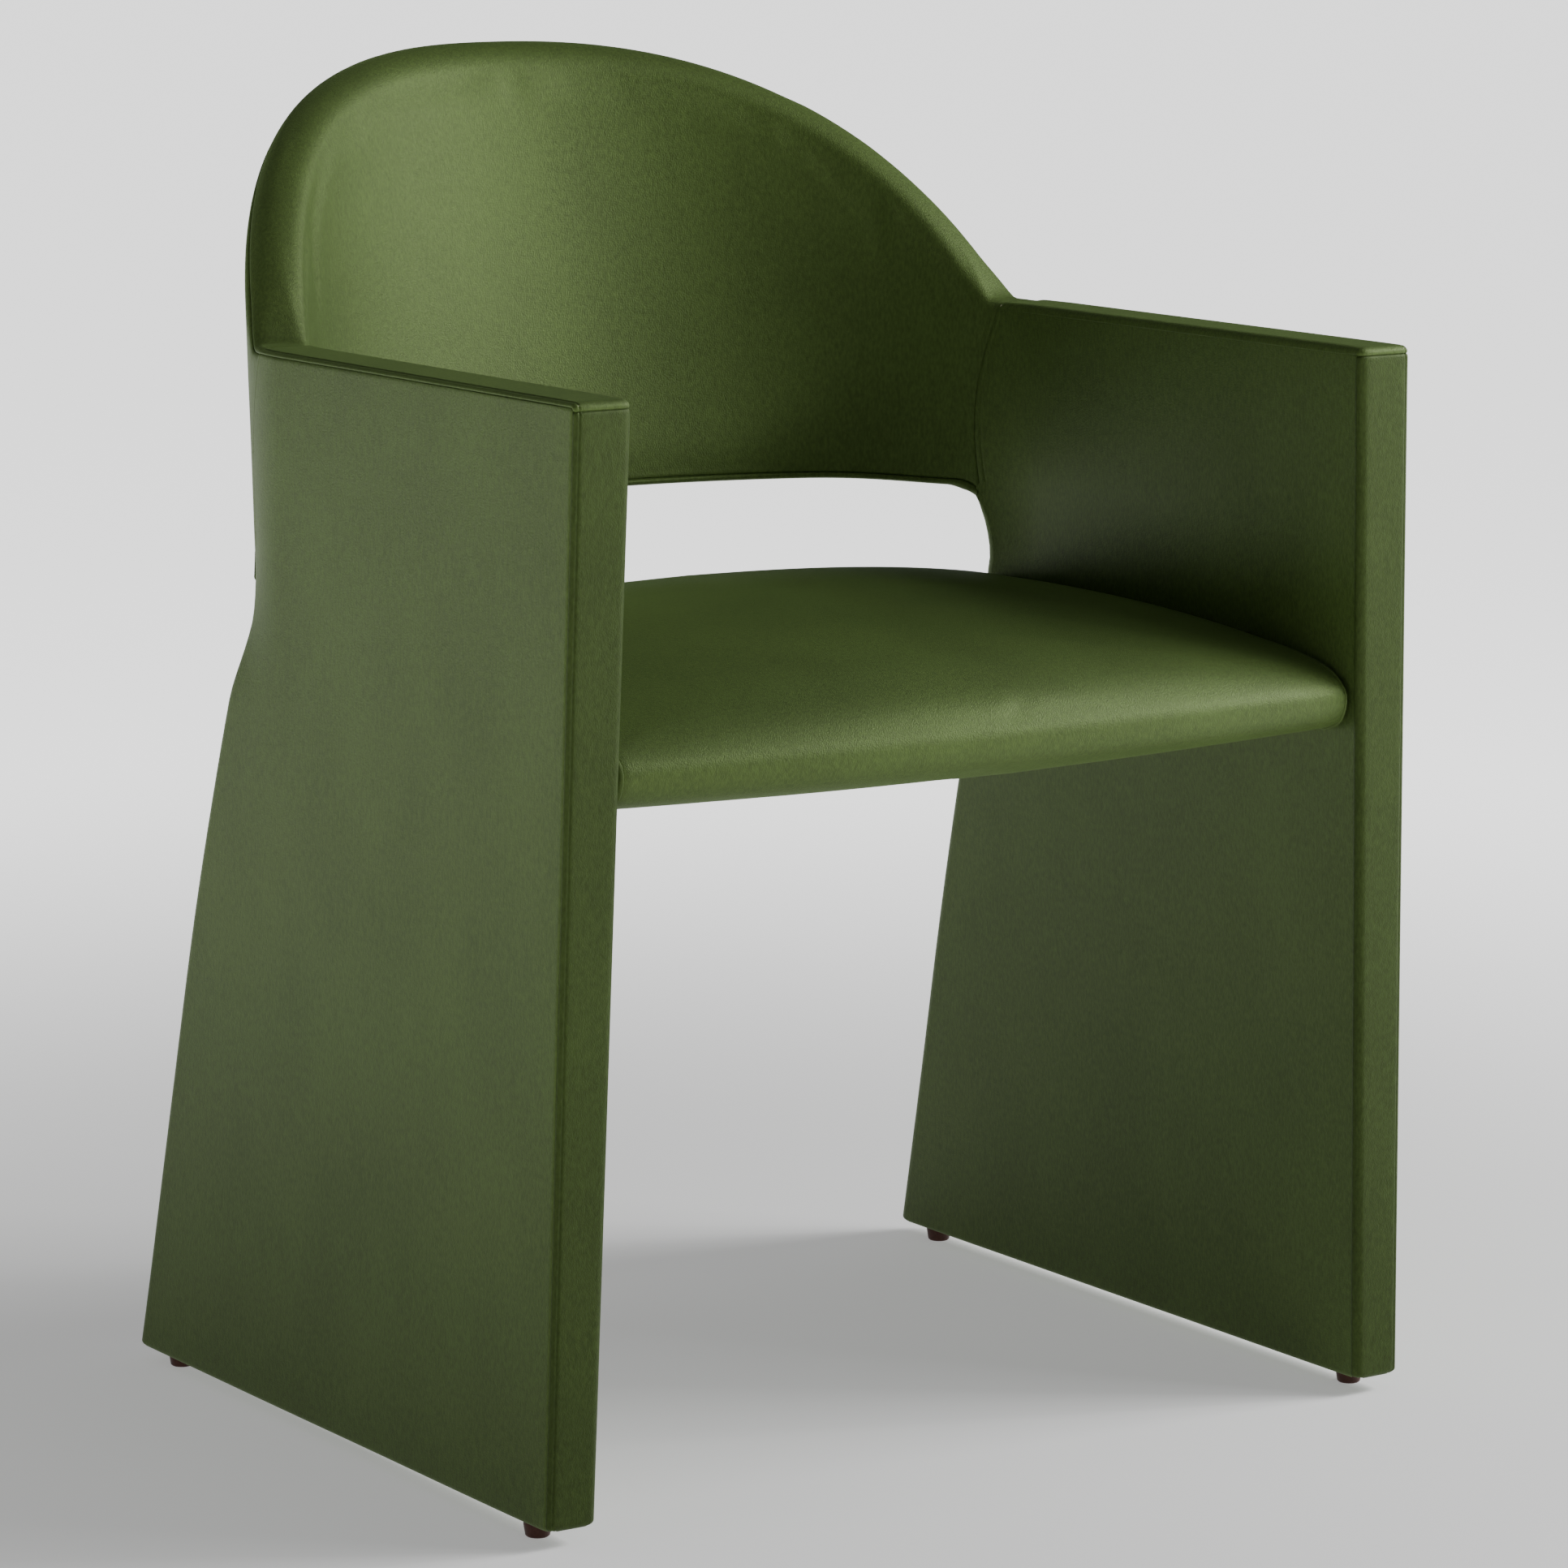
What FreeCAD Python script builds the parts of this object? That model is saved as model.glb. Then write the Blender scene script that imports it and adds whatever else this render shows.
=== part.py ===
"""Dining armchair: two upholstered slab sides, a curved leaning back and a crowned seat.

The chair faces -Y, +Z is up and the origin is on the floor under the middle of its bounding box.
Each piece is first laid out with y = 0 at the front of the arm tops, then moved back by
middle_y. All sizes are in millimetres.
"""
import FreeCAD, Part
import math
import os

import Sketcher
from FreeCAD import Placement, Rotation, Vector

SIZES = {
    # slab sides, which are leg and arm in one
    "arm_top": 635.0,
    "slab_foot": 10.0,
    "outer_half_arm": 286.5,
    "outer_half_foot": 301.0,
    "inner_half_arm": 250.0,
    "inner_half_foot": 269.5,
    "front_lean": 12.5,
    "rear_foot": 498.0,
    "rear_shin": 461.0,
    "rear_knee": 422.0,
    "rear_waist": 371.0,
    "shin_height": 165.0,
    "knee_height": 320.0,
    "waist_height": 475.0,
    "slab_front_round": 4.0,
    "slab_rear_round": 10.0,
    # plan curve of the back and of the slabs' upper rear corners
    "curve_start": 324.0,
    "curve_depth": 157.0,
    "bend_low": 425.0,
    "bend_high": 500.0,
    # back
    "back_thick": 34.5,
    "back_top": 796.0,
    "back_lean": 16.4,
    "rim_drop": 90.0,
    "rim_power": 2.47,
    "gap_top": 517.0,
    "gap_arch": 4.0,
    "gap_round": 20.0,
    # seat
    "seat_under": 406.5,
    "seat_side_top": 461.0,
    "seat_crown": 26.0,
    "seat_front": -3.0,
    "seat_bow": 14.0,
    "seat_rear": 388.0,
    "nose_height": 430.0,
    "seat_frame_half": 251.5,
    "seat_frame_front": 38.0,
    "seat_frame_rear": 372.0,
    "rail_thick": 22.0,
    "rail_top": 443.0,
    # layers, from the outside in
    "cover_thick": 1.5,
    "layer_gap": 0.2,
    "skin_thick": 3.0,
    "core_thick": 12.0,
    "core_inset": 8.5,
    "core_rear_inset": 13.0,
    "core_top": 628.0,
    "core_end": 357.0,
    "post_width": 55.0,
    "rail_width": 50.0,
    # glides and fasteners
    "glide_radius": 7.0,
    "glide_front_x": 288.5,
    "glide_rear_x": 284.0,
    "glide_front": 43.5,
    "glide_rear": 470.0,
    "bolt_front": 135.0,
    "bolt_rear": 270.0,
    "bolt_height": 427.0,
    "bolt_radius": 4.0,
    "plate_thick": 4.0,
    "pin_radius": 3.0,
    "pin_low": 558.0,
    "pin_high": 587.0,
    "pin_front": 320.0,
    "pin_middle": 345.0,
    "pin_angle": 66.5,
    "plate_low": 545.0,
    "plate_high": 600.0,
    "plate_front": 308.0,
    "bolt_head_radius": 6.5,
    "bolt_head_length": 8.0,
    "bolt_seat": 45.2,
    "washer_radius": 12.0,
    "washer_thick": 1.6,
    "nut_flange_radius": 10.0,
    "nut_flange_thick": 1.5,
    "nut_barrel_radius": 5.5,
    "screw_radius": 2.0,
    "screw_length": 32.0,
    "strap_width": 50.0,
    "strap_thick": 1.5,
    "strap_pitch_across": 88.0,
    "strap_pitch_along": 78.0,
    "block_leg": 55.0,
    "dust_margin": 8.0,
    "dust_thick": 1.0,
    # where the covers are cut and sewn
    "front_seam": 4.5,
    "inner_seam": 5.5,
    "arm_seam": 1.5,
    "seat_turn_in": 30.0,
    "seat_end_room": 11.0,
    # middle of the chair's depth, from the front of the arm tops
    "middle_y": 286.55,
}

SIDES = {"left": -1, "right": 1}
doc = FreeCAD.newDocument("dining_chair")
sheet = doc.addObject("Spreadsheet::Sheet", "Sizes")
for row, (alias, value) in enumerate(SIZES.items(), start=1):
    sheet.set(f"A{row}", alias)
    sheet.set(f"B{row}", str(value))
    sheet.setAlias(f"B{row}", alias)
doc.recompute()

subparts = []


def size(alias):
    """One driving dimension, as the sheet holds it."""
    return float(sheet.get(alias))


# ---------------------------------------------------------------- outer form

SLAB_HEIGHT = size("arm_top") - size("slab_foot")
HALF_BACK = size("back_thick") / 2
COVER = size("cover_thick")
GAP = size("layer_gap")
WOOD_HALF = size("core_thick") / 2 + size("skin_thick")
LEAN = math.tan(math.radians(size("back_lean")))
RIM_ANGLE = 60.0  # rim_drop is measured at this plan angle from the rear centre
GAP_BLEND = 60.0  # the gap's edge rises to its arch over this depth
SEAM_SPREAD = 14.0  # a slab runs this far past its waist, and the seam then trims it


def between(low, high, z):
    """A width that changes evenly from its foot value to its arm value."""
    share = (z - size("slab_foot")) / SLAB_HEIGHT
    return size(low) + (size(high) - size(low)) * share


def outer_half(z):
    return between("outer_half_foot", "outer_half_arm", z)


def inner_half(z):
    return between("inner_half_foot", "inner_half_arm", z)


def middle_half(z):
    return (outer_half(z) + inner_half(z)) / 2


SPLAY = math.degrees(math.atan((middle_half(0) - middle_half(100)) / 100))


def front_y(z):
    return size("front_lean") * (size("arm_top") - z) / SLAB_HEIGHT


def rear_y(z):
    """Rear edge of a slab: one cubic through its foot, shin, knee and waist, then upright."""
    heights = [size(a) for a in ("slab_foot", "shin_height", "knee_height", "waist_height")]
    depths = [size(a) for a in ("rear_foot", "rear_shin", "rear_knee", "rear_waist")]
    level = min(z, heights[3])
    total = 0.0
    for here, depth in zip(heights, depths):
        weight = 1.0
        for other in heights:
            if other != here:
                weight *= (level - other) / (here - other)
        total += depth * weight
    return total + SEAM_SPREAD * smooth((z - size("bend_high")) / size("gap_round"))


def smooth(share):
    share = min(max(share, 0.0), 1.0)
    return share * share * (3 - 2 * share)


def depth_at(z):
    """Depth of the plan ellipse at one height: the back leans, so it grows upwards."""
    return size("curve_depth") + max(z - size("gap_top"), 0.0) * LEAN


def toe_in(y, z, half_depth):
    """How much of its half-width a slab loses where its upper rear corner joins the plan curve."""
    share = min(max(y - size("curve_start"), 0.0) / half_depth, 0.999)
    weight = smooth((z - size("bend_low")) / (size("bend_high") - size("bend_low")))
    return weight * (1 - math.sqrt(1 - share * share))


def outer_x(y, z, inset):
    return outer_half(z) * (1 - toe_in(y, z, depth_at(z) + HALF_BACK)) - inset


def inner_x(y, z, inset):
    return inner_half(z) * (1 - toe_in(y, z, depth_at(z) - HALF_BACK)) + inset


def line(start, end):
    return Part.LineSegment(start, end).toShape()


def arc(start, middle, end):
    return Part.Arc(start, middle, end).toShape()


def curve(points):
    spline = Part.BSplineCurve()
    spline.interpolate(points)
    return spline.toShape()


def closed(points):
    return Part.Wire([line(a, b) for a, b in zip(points, points[1:] + points[:1])])


def mirrored(shape):
    return shape.mirror(Vector(0, 0, 0), Vector(1, 0, 0))


def slab_section(z, inset):
    """Plan outline of the right slab at one height, drawn inset from its outer form."""
    front = front_y(z) + inset
    rear = rear_y(z) - inset
    start = size("curve_start")
    nose = size("slab_front_round") - inset
    tail = size("slab_rear_round") - inset
    steps = 5
    bend = [start + (rear - tail - start) * k / steps for k in range(steps + 1)]
    outer = [Vector(outer_x(y, z, inset), y, z) for y in bend]
    inner = [Vector(inner_x(y, z, inset), y, z) for y in reversed(bend)]
    rear_out = Vector(outer[-1].x - tail, rear, z)
    rear_in = Vector(inner[0].x + tail, rear, z)
    front_out = Vector(outer[0].x - nose, front, z)
    front_in = Vector(inner[-1].x + nose, front, z)
    side_out = Vector(outer[0].x, front + nose, z)
    side_in = Vector(inner[-1].x, front + nose, z)
    bulge = 1 - math.sqrt(0.5)
    edges = [
        line(side_out, outer[0]),
        curve(outer),
        arc(outer[-1], Vector(outer[-1].x - tail * bulge, rear - tail * bulge, z), rear_out),
        line(rear_out, rear_in),
        arc(rear_in, Vector(inner[0].x + tail * bulge, rear - tail * bulge, z), inner[0]),
        curve(inner),
        line(inner[-1], side_in),
        arc(side_in, Vector(side_in.x + nose * bulge, front + nose * bulge, z), front_in),
        line(front_in, front_out),
        arc(front_out, Vector(side_out.x - nose * bulge, front + nose * bulge, z), side_out),
    ]
    return Part.Wire(edges)


def slab_block(inset):
    """The right slab's outer form, drawn inset on every side."""
    low = size("slab_foot") + inset
    high = size("arm_top") - inset
    levels = [low, 90, 170, 250, 320, 370, 400, 425, 445, 460, 475, 487, 500, 510, 520, 545, 570, 600,
              high]
    return Part.makeLoft([slab_section(z, inset) for z in levels], True, True)


# seam between a slab and the back, from the arm top down to the gap's corner, as (y, z)
SEAM = [(352.0, 640.0), (366.0, 605.0), (372.0, 570.0), (371.5, 545.0), (368.0, 520.0)]
SEAM_EXIT = (371.8, 500.0)
REACH = 400.0


def across(points_and_curves):
    """Solid that spans the chair from side to side, from an outline in the YZ plane."""
    face = Part.Face(Part.Wire(points_and_curves))
    return face.extrude(Vector(2 * REACH, 0, 0))


def at_side(y, z):
    return Vector(-REACH, y, z)


def seam_region(behind):
    """Everything behind the seam, or everything in front of it, as one cutting solid."""
    shift = -GAP / 2 if behind else GAP / 2
    seam = curve([at_side(y + shift, z) for y, z in SEAM])
    top = at_side(SEAM[0][0] + shift, SEAM[0][1])
    bottom = at_side(SEAM[-1][0] + shift, SEAM[-1][1])
    leave = at_side(SEAM_EXIT[0] + shift, SEAM_EXIT[1])
    if behind:
        corners = [leave, at_side(800, SEAM_EXIT[1]), at_side(800, 900), at_side(top.y, 900), top]
    else:
        corners = [leave, at_side(leave.y, 300), at_side(-100, 300), at_side(-100, 900),
                   at_side(top.y, 900), top]
    return across([seam, line(bottom, leave)] + [line(a, b) for a, b in zip(corners, corners[1:])])


BEHIND_SEAM = seam_region(behind=True)
BEFORE_SEAM = seam_region(behind=False)

# ---------------------------------------------------------------- back form

NORMAL_DEPTH = size("curve_depth") + 28.0  # depth of the plan ellipse half way up the back
SHELL_RISE = 4.0  # the plywood shell ends this far above the centre of the rounded rim
BACK_ANGLES = [0, 12, 24, 35, 45, 54, 60, 64, 67, 70, 73, 76, 79, 82, 86]


def rim_height(angle):
    """Top of the back at a plan angle: an arch that runs out level with the arm tops."""
    arch = size("back_top") - size("rim_drop") * (abs(angle) / RIM_ANGLE) ** size("rim_power")
    level = size("arm_top")
    soft = 4.0
    return (arch + level + math.hypot(arch - level, soft)) / 2


def gap_height(angle):
    """Lower edge of the back at a plan angle, with a round corner at each end of the gap."""
    turn = math.radians(angle)
    radius = size("gap_round")
    y = size("curve_start") + size("curve_depth") * math.cos(turn)
    centre = size("rear_waist") + radius
    top = size("gap_top")
    if y < centre:
        reach = min(centre - y, radius)
        return top - radius + math.sqrt(radius * radius - reach * reach)
    return top + size("gap_arch") * smooth((y - centre) / GAP_BLEND)


def back_point(angle, offset, z):
    """Point of the back at a plan angle, a distance outward of its middle surface, at a height."""
    turn = math.radians(angle)
    across_x = NORMAL_DEPTH * math.sin(turn)
    along_y = middle_half(z) * math.cos(turn)
    scale = offset / math.hypot(across_x, along_y)
    depth = size("curve_depth") + (z - size("gap_top")) * LEAN
    x = middle_half(z) * math.sin(turn) + across_x * scale
    y = size("curve_start") + depth * math.cos(turn) + along_y * scale
    return Vector(x, y, z)


def back_loft(profile):
    """Sweep a profile, given as a function of the plan angle, round the back and trim its ends."""
    angles = [-a for a in reversed(BACK_ANGLES[1:])] + BACK_ANGLES
    solid = Part.makeLoft([profile(a) for a in angles], True, False)
    return solid.cut(BEFORE_SEAM)


def shell_profile(angle):
    low = gap_height(angle) + COVER + 2 * GAP
    high = rim_height(angle) - HALF_BACK + SHELL_RISE
    corners = [(-WOOD_HALF, low), (WOOD_HALF, low), (WOOD_HALF, high), (-WOOD_HALF, high)]
    return closed([back_point(angle, s, z) for s, z in corners])


def pad_profile(side):
    """Foam on one face of the shell, turned over the shell's top to the middle of the rim."""
    def profile(angle):
        low = gap_height(angle) + COVER + GAP
        centre = rim_height(angle) - HALF_BACK
        radius = HALF_BACK - COVER - GAP
        wood = WOOD_HALF + GAP
        top = centre + SHELL_RISE + GAP
        near = GAP / 2
        turn = math.sqrt(0.5) * radius

        def at(offset, z):
            return back_point(angle, side * offset, z)
        corners = [at(near, centre + radius), at(near, top), at(wood, top), at(wood, low),
                   at(radius, low), at(radius, centre)]
        edges = [line(a, b) for a, b in zip(corners, corners[1:])]
        return Part.Wire(edges + [arc(corners[-1], at(turn, centre + turn), corners[0])])
    return profile


def cover_profile(side):
    """Velvet on one face of the back, from the bottom band to the middle of the rim."""
    def profile(angle):
        low = gap_height(angle) + COVER + GAP
        centre = rim_height(angle) - HALF_BACK
        outside = HALF_BACK
        inside = HALF_BACK - COVER
        near = GAP / 2
        half = math.sqrt(0.5)

        def at(offset, z):
            return back_point(angle, side * offset, z)
        edges = [
            line(at(inside, low), at(outside, low)),
            line(at(outside, low), at(outside, centre)),
            arc(at(outside, centre), at(half * outside, centre + half * outside),
                at(near, centre + outside)),
            line(at(near, centre + outside), at(near, centre + inside)),
            arc(at(near, centre + inside), at(half * inside, centre + half * inside),
                at(inside, centre)),
            line(at(inside, centre), at(inside, low)),
        ]
        return Part.Wire(edges)
    return profile


def band_profile(angle):
    low = gap_height(angle)
    corners = [(-HALF_BACK, low), (HALF_BACK, low), (HALF_BACK, low + COVER), (-HALF_BACK, low + COVER)]
    return closed([back_point(angle, s, z) for s, z in corners])


# ---------------------------------------------------------------- seat form

SEAT_CLEAR = 0.3  # room between the seat and each slab
SEAT_STATIONS = [-1, -0.88, -0.7, -0.4, 0, 0.4, 0.7, 0.88, 1]
SEAT_SIDE = [(0.0, 0.0), (0.03, 0.36), (0.11, 0.61), (0.22, 0.76), (0.36, 0.90), (0.56, 1.0),
             (0.80, 1.0), (0.95, 0.86)]  # height of the side's top edge, as a share of its rise
SEAT_RISE = [0.0, 0.12, 0.42, 0.68, 0.88, 1.0, 0.84, 0.58]  # crown's share at the same places


def seat_section(station, inset):
    """Outline of the seat in a plane that runs front to back, bowed and crowned with the station."""
    crown = 1 - abs(station) ** 2.5
    front = size("seat_front") + size("seat_bow") * station * station + inset
    rear = size("seat_rear") - inset
    low = size("seat_under") + inset
    nose = size("nose_height")
    rise = size("seat_side_top") - nose

    def at(y, z):
        return Vector(station * (inner_half(z) - SEAT_CLEAR - inset), y, z)
    top = []
    for (share, height), lift in zip(SEAT_SIDE, SEAT_RISE):
        z = nose + rise * height + size("seat_crown") * crown * lift
        top.append(at(front + (rear - front) * share, z - inset * smooth(share / 0.11)))
    under = 24.0  # the nose rolls under this far before the flat underside starts
    return Part.Wire([
        curve(top),
        arc(top[-1], at(rear, nose + 8), at(rear - 2, nose - 8)),
        line(at(rear - 2, nose - 8), at(rear - 8, low)),
        line(at(rear - 8, low), at(front + under, low)),
        arc(at(front + under, low), at(front + 0.2 * under, low + 0.32 * (nose - low)), top[0]),
    ])


def seat_block(inset):
    """The seat's form drawn inset on every side, trimmed clear of the slabs at its rear corners."""
    block = Part.makeLoft([seat_section(station, inset) for station in SEAT_STATIONS], True, False)
    slab = slab_block(-SEAT_CLEAR - inset)
    return block.cut([slab, mirrored(slab)])


# ---------------------------------------------------------------- making and placing pieces

def add_feature(label, shape, placement=None):
    """A piece whose shape is worked out in code; the chair's own placement is added last."""
    piece = doc.addObject("Part::Feature", label)
    piece.Label = label
    piece.Shape = shape
    piece.Placement = placement if placement else chair_placement()
    subparts.append(piece)
    return piece


def chair_placement():
    return Placement(Vector(0, -size("middle_y"), 0), Rotation())


def slab_placement(side):
    """Frame of one slab: its x is the slab's thickness outward, and its z runs up the slab."""
    tilt = Rotation(Vector(0, 1, 0), -SIDES[side] * SPLAY)
    return Placement(Vector(SIDES[side] * middle_half(0), -size("middle_y"), 0), tilt)


def bound_sketch(body, label, plane, corners):
    """Closed polygon on one of a body's own planes; its corners are expressions."""
    origin = next(o for o in body.Origin.OriginFeatures if o.Role == plane)
    sketch = body.newObject("Sketcher::SketchObject", label)
    sketch.AttachmentSupport = (origin, "")
    sketch.MapMode = "FlatFace"
    points = [Vector(number(sketch, u), number(sketch, v), 0) for u, v in corners]
    for start, end in zip(points, points[1:] + points[:1]):
        sketch.addGeometry(Part.LineSegment(start, end), False)
    count = len(points)
    for index in range(count):
        sketch.addConstraint(Sketcher.Constraint("Coincident", index, 2, (index + 1) % count, 1))
    for index, (u, v) in enumerate(corners):
        for kind, text, now in (("DistanceX", u, points[index].x), ("DistanceY", v, points[index].y)):
            place = sketch.addConstraint(Sketcher.Constraint(kind, -1, 1, index, 1, now))
            sketch.setExpression(f"Constraints[{place}]", text)
    return sketch


def polygon_pad(label, plane, corners, length, offset="0", reverse=False, middle=False):
    """A body with one pad. Corners, length and offset are expressions in the sheet's names."""
    body = doc.addObject("PartDesign::Body", label)
    sketch = bound_sketch(body, label + "_outline", plane, corners)
    sketch.setExpression("AttachmentOffset.Base.z", offset)
    pad = body.newObject("PartDesign::Pad", label + "_pad")
    pad.Profile = sketch
    pad.setExpression("Length", length)
    pad.Reversed = reverse
    pad.Midplane = middle
    return body


def number(owner, text):
    value = owner.evalExpression(text)
    return float(getattr(value, "Value", value))


def keep(piece, label, placement):
    piece.Label = label
    piece.Placement = placement
    subparts.append(piece)
    return piece


# ---------------------------------------------------------------- slab sides

S = "Sizes."
CORE_FOOT = f"{S}slab_foot + {S}cover_thick + 3 * {S}layer_gap"
CORE_REAR_FOOT = f"{S}rear_foot - {S}core_rear_inset"
CORE_KNEE = f"{S}rear_knee - {S}core_rear_inset"
CORE_WAIST = f"{S}rear_waist - {S}core_rear_inset"
CORE_END = f"{S}core_end"
END_TOP = f"{S}core_top - 38"
SHOULDER = f"{S}core_end - 17"
POST = f"{S}post_width"
RAIL = f"{S}rail_width"
SEAT_RAIL_LOW = f"{S}bolt_height - {S}rail_width / 2"
SEAT_RAIL_HIGH = f"{S}bolt_height + {S}rail_width / 2"
REAR_STEP = f"(({S}rear_foot - {S}rear_knee) / ({S}knee_height - {S}slab_foot))"
FRONT_STEP = f"({S}front_lean / ({S}arm_top - {S}slab_foot))"


def front_line(z, extra="0"):
    """Expression for the core's front edge, which leans, at a height given as an expression."""
    return f"{S}core_inset + ({S}arm_top - ({z})) * {FRONT_STEP} + {extra}"


FRAME_MEMBERS = {
    "front_post": [
        (front_line(CORE_FOOT), CORE_FOOT),
        (front_line(CORE_FOOT, POST), CORE_FOOT),
        (front_line(f"{S}core_top", POST), f"{S}core_top"),
        (front_line(f"{S}core_top"), f"{S}core_top"),
    ],
    "foot_rail": [
        (front_line(CORE_FOOT, POST), CORE_FOOT),
        (f"{CORE_REAR_FOOT} - {POST}", CORE_FOOT),
        (f"{CORE_REAR_FOOT} - {POST} - {RAIL} * {REAR_STEP}", f"{CORE_FOOT} + {RAIL}"),
        (front_line(f"{CORE_FOOT} + {RAIL}", POST), f"{CORE_FOOT} + {RAIL}"),
    ],
    "seat_rail": [
        (front_line(SEAT_RAIL_LOW, POST), SEAT_RAIL_LOW),
        (f"{CORE_WAIST} - {POST}", SEAT_RAIL_LOW),
        (f"{CORE_WAIST} - {POST}", SEAT_RAIL_HIGH),
        (front_line(SEAT_RAIL_HIGH, POST), SEAT_RAIL_HIGH),
    ],
    "arm_rail": [
        (front_line(END_TOP, POST), END_TOP),
        (f"{CORE_END} - {POST}", END_TOP),
        (f"{CORE_END} - {POST}", f"{S}core_top"),
        (front_line(f"{S}core_top", POST), f"{S}core_top"),
    ],
    "rear_post": [
        (CORE_REAR_FOOT, CORE_FOOT),
        (CORE_KNEE, f"{S}knee_height"),
        (CORE_WAIST, f"{S}waist_height"),
        (CORE_END, f"{S}waist_height + 20"),
        (CORE_END, END_TOP),
        (SHOULDER, f"{S}core_top"),
        (f"{CORE_END} - {POST}", f"{S}core_top"),
        (f"{CORE_END} - {POST}", SEAT_RAIL_HIGH),
        (f"{CORE_WAIST} - {POST}", SEAT_RAIL_HIGH),
        (f"{CORE_WAIST} - {POST}", SEAT_RAIL_LOW),
        (f"{CORE_REAR_FOOT} - {POST} - {RAIL} * {REAR_STEP}", f"{CORE_FOOT} + {RAIL}"),
        (f"{CORE_REAR_FOOT} - {POST}", CORE_FOOT),
    ],
}
SKIN_OUTLINE = [
    (front_line(CORE_FOOT), CORE_FOOT),
    (CORE_REAR_FOOT, CORE_FOOT),
    (CORE_KNEE, f"{S}knee_height"),
    (CORE_WAIST, f"{S}waist_height"),
    (CORE_END, f"{S}waist_height + 20"),
    (CORE_END, END_TOP),
    (SHOULDER, f"{S}core_top"),
    (front_line(f"{S}core_top"), f"{S}core_top"),
]


def cylinder(radius, length, base, axis):
    return Part.makeCylinder(radius, length, base, axis)


def plate_and_pins(side, grow):
    """Steel plate that joins a slab to the back shell, and its cross pins, in chair layout."""
    sign = SIDES[side]
    low, high = size("plate_low"), size("plate_high")
    half = size("plate_thick") / 2 + grow
    level = (low + high) / 2
    angles = [62 + grow * -0.5, 66, 70, 74, 78, 82, 86, 90]

    def strip(offset):
        points = [back_point(a, offset, level) for a in angles]
        points.append(Vector(points[-1].x, size("plate_front") - grow, level))
        return [Vector(sign * p.x, p.y, low - grow) for p in points]
    outline = closed(strip(half) + list(reversed(strip(-half))))
    plate = Part.Face(outline).extrude(Vector(0, 0, high - low + 2 * grow))
    pins = []
    reach = WOOD_HALF - 0.3  # half a pin's length, just short of the wood's faces
    for z in (size("pin_low"), size("pin_high")):
        for place in (size("pin_front"), size("pin_middle")):
            centre = Vector(sign * middle_half(z), place, z)
            pins.append((centre, Vector(sign, 0, 0)))
        centre = back_point(size("pin_angle"), 0, z)
        aim = back_point(size("pin_angle"), 1, z) - centre
        pins.append((Vector(sign * centre.x, centre.y, z), Vector(sign * aim.x, aim.y, 0)))
    solids = []
    for centre, aim in pins:
        aim.normalize()
        solids.append(cylinder(size("pin_radius") + grow, 2 * reach, centre - aim * reach, aim))
    return plate, solids


def to_slab_frame(shape, side):
    """Move a shape from the chair layout into one slab's own frame."""
    moved = shape.copy()
    moved.Placement = slab_placement(side).inverse().multiply(chair_placement())
    return moved


def seat_bolt_holes(side, radius):
    """Cylinders along the seat bolts of one side, in that slab's own frame."""
    inward = -SIDES[side]
    holes = []
    for place in ("bolt_front", "bolt_rear"):
        start = Vector(-inward * 5.0, size(place), size("bolt_height"))
        holes.append(cylinder(radius, 60.0, start, Vector(inward, 0, 0)))
    return holes


def tee_nut(side, place, grow=0.0):
    """Tee nut in the slab's seat rail, in the slab's own frame: flange outside, barrel inside."""
    outward = SIDES[side]
    edge = size("core_thick") / 2
    seat = Vector(outward * (edge + grow), size(place), size("bolt_height"))
    aim = Vector(-outward, 0, 0)
    flange = cylinder(size("nut_flange_radius") + grow, size("nut_flange_thick") + grow, seat, aim)
    barrel = cylinder(size("nut_barrel_radius") + grow, 2 * edge + 2 * grow, seat, aim)
    return flange.fuse(barrel)


def room(label, solids):
    """A cutting tool for wooden pieces."""
    tool = doc.addObject("Part::Feature", label)
    tool.Shape = Part.makeCompound(solids)
    return tool


def make_slab_frame(side):
    """Hardwood frame and plywood skins of one slab, with holes and slots for what joins them."""
    sign = SIDES[side]
    plate, pins = plate_and_pins(side, 0.05)
    joint = [to_slab_frame(plate.multiFuse(pins), side)]
    screws = [to_slab_frame(screw, side) for screw in glide_screws(side, 0.02)]
    tools = {
        "front_post": room(side + "_front_screw_room", screws[:1]),
        "rear_post": room(side + "_rear_room", joint + screws[1:]),
        "seat_rail": room(side + "_nut_room",
                          [tee_nut(side, place, 0.02) for place in ("bolt_front", "bolt_rear")]),
    }
    for name, corners in FRAME_MEMBERS.items():
        label = f"{side}_{name}"
        body = polygon_pad(label + "_blank" if name in tools else label, "YZ_Plane", corners,
                           f"{S}core_thick", middle=True)
        if name in tools:
            body = cut(label, body, tools[name])
        keep(body, label, slab_placement(side))
    slot = room(side + "_slot_room", joint)
    slot_and_bolts = room(side + "_slot_and_bolt_room",
                          joint + seat_bolt_holes(side, size("bolt_radius") + 0.5))
    for name, direction, tool in (("outer_skin", sign, slot), ("inner_skin", -sign, slot_and_bolts)):
        label = f"{side}_{name}"
        start = f"{direction} * {S}core_thick / 2"
        blank = polygon_pad(label + "_blank", "YZ_Plane", SKIN_OUTLINE, f"{S}skin_thick", start,
                            reverse=direction < 0)
        keep(cut(label, blank, tool), label, slab_placement(side))


def cut(label, base, tool):
    piece = doc.addObject("Part::Cut", label)
    piece.Base = base
    piece.Tool = tool
    return piece


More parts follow.
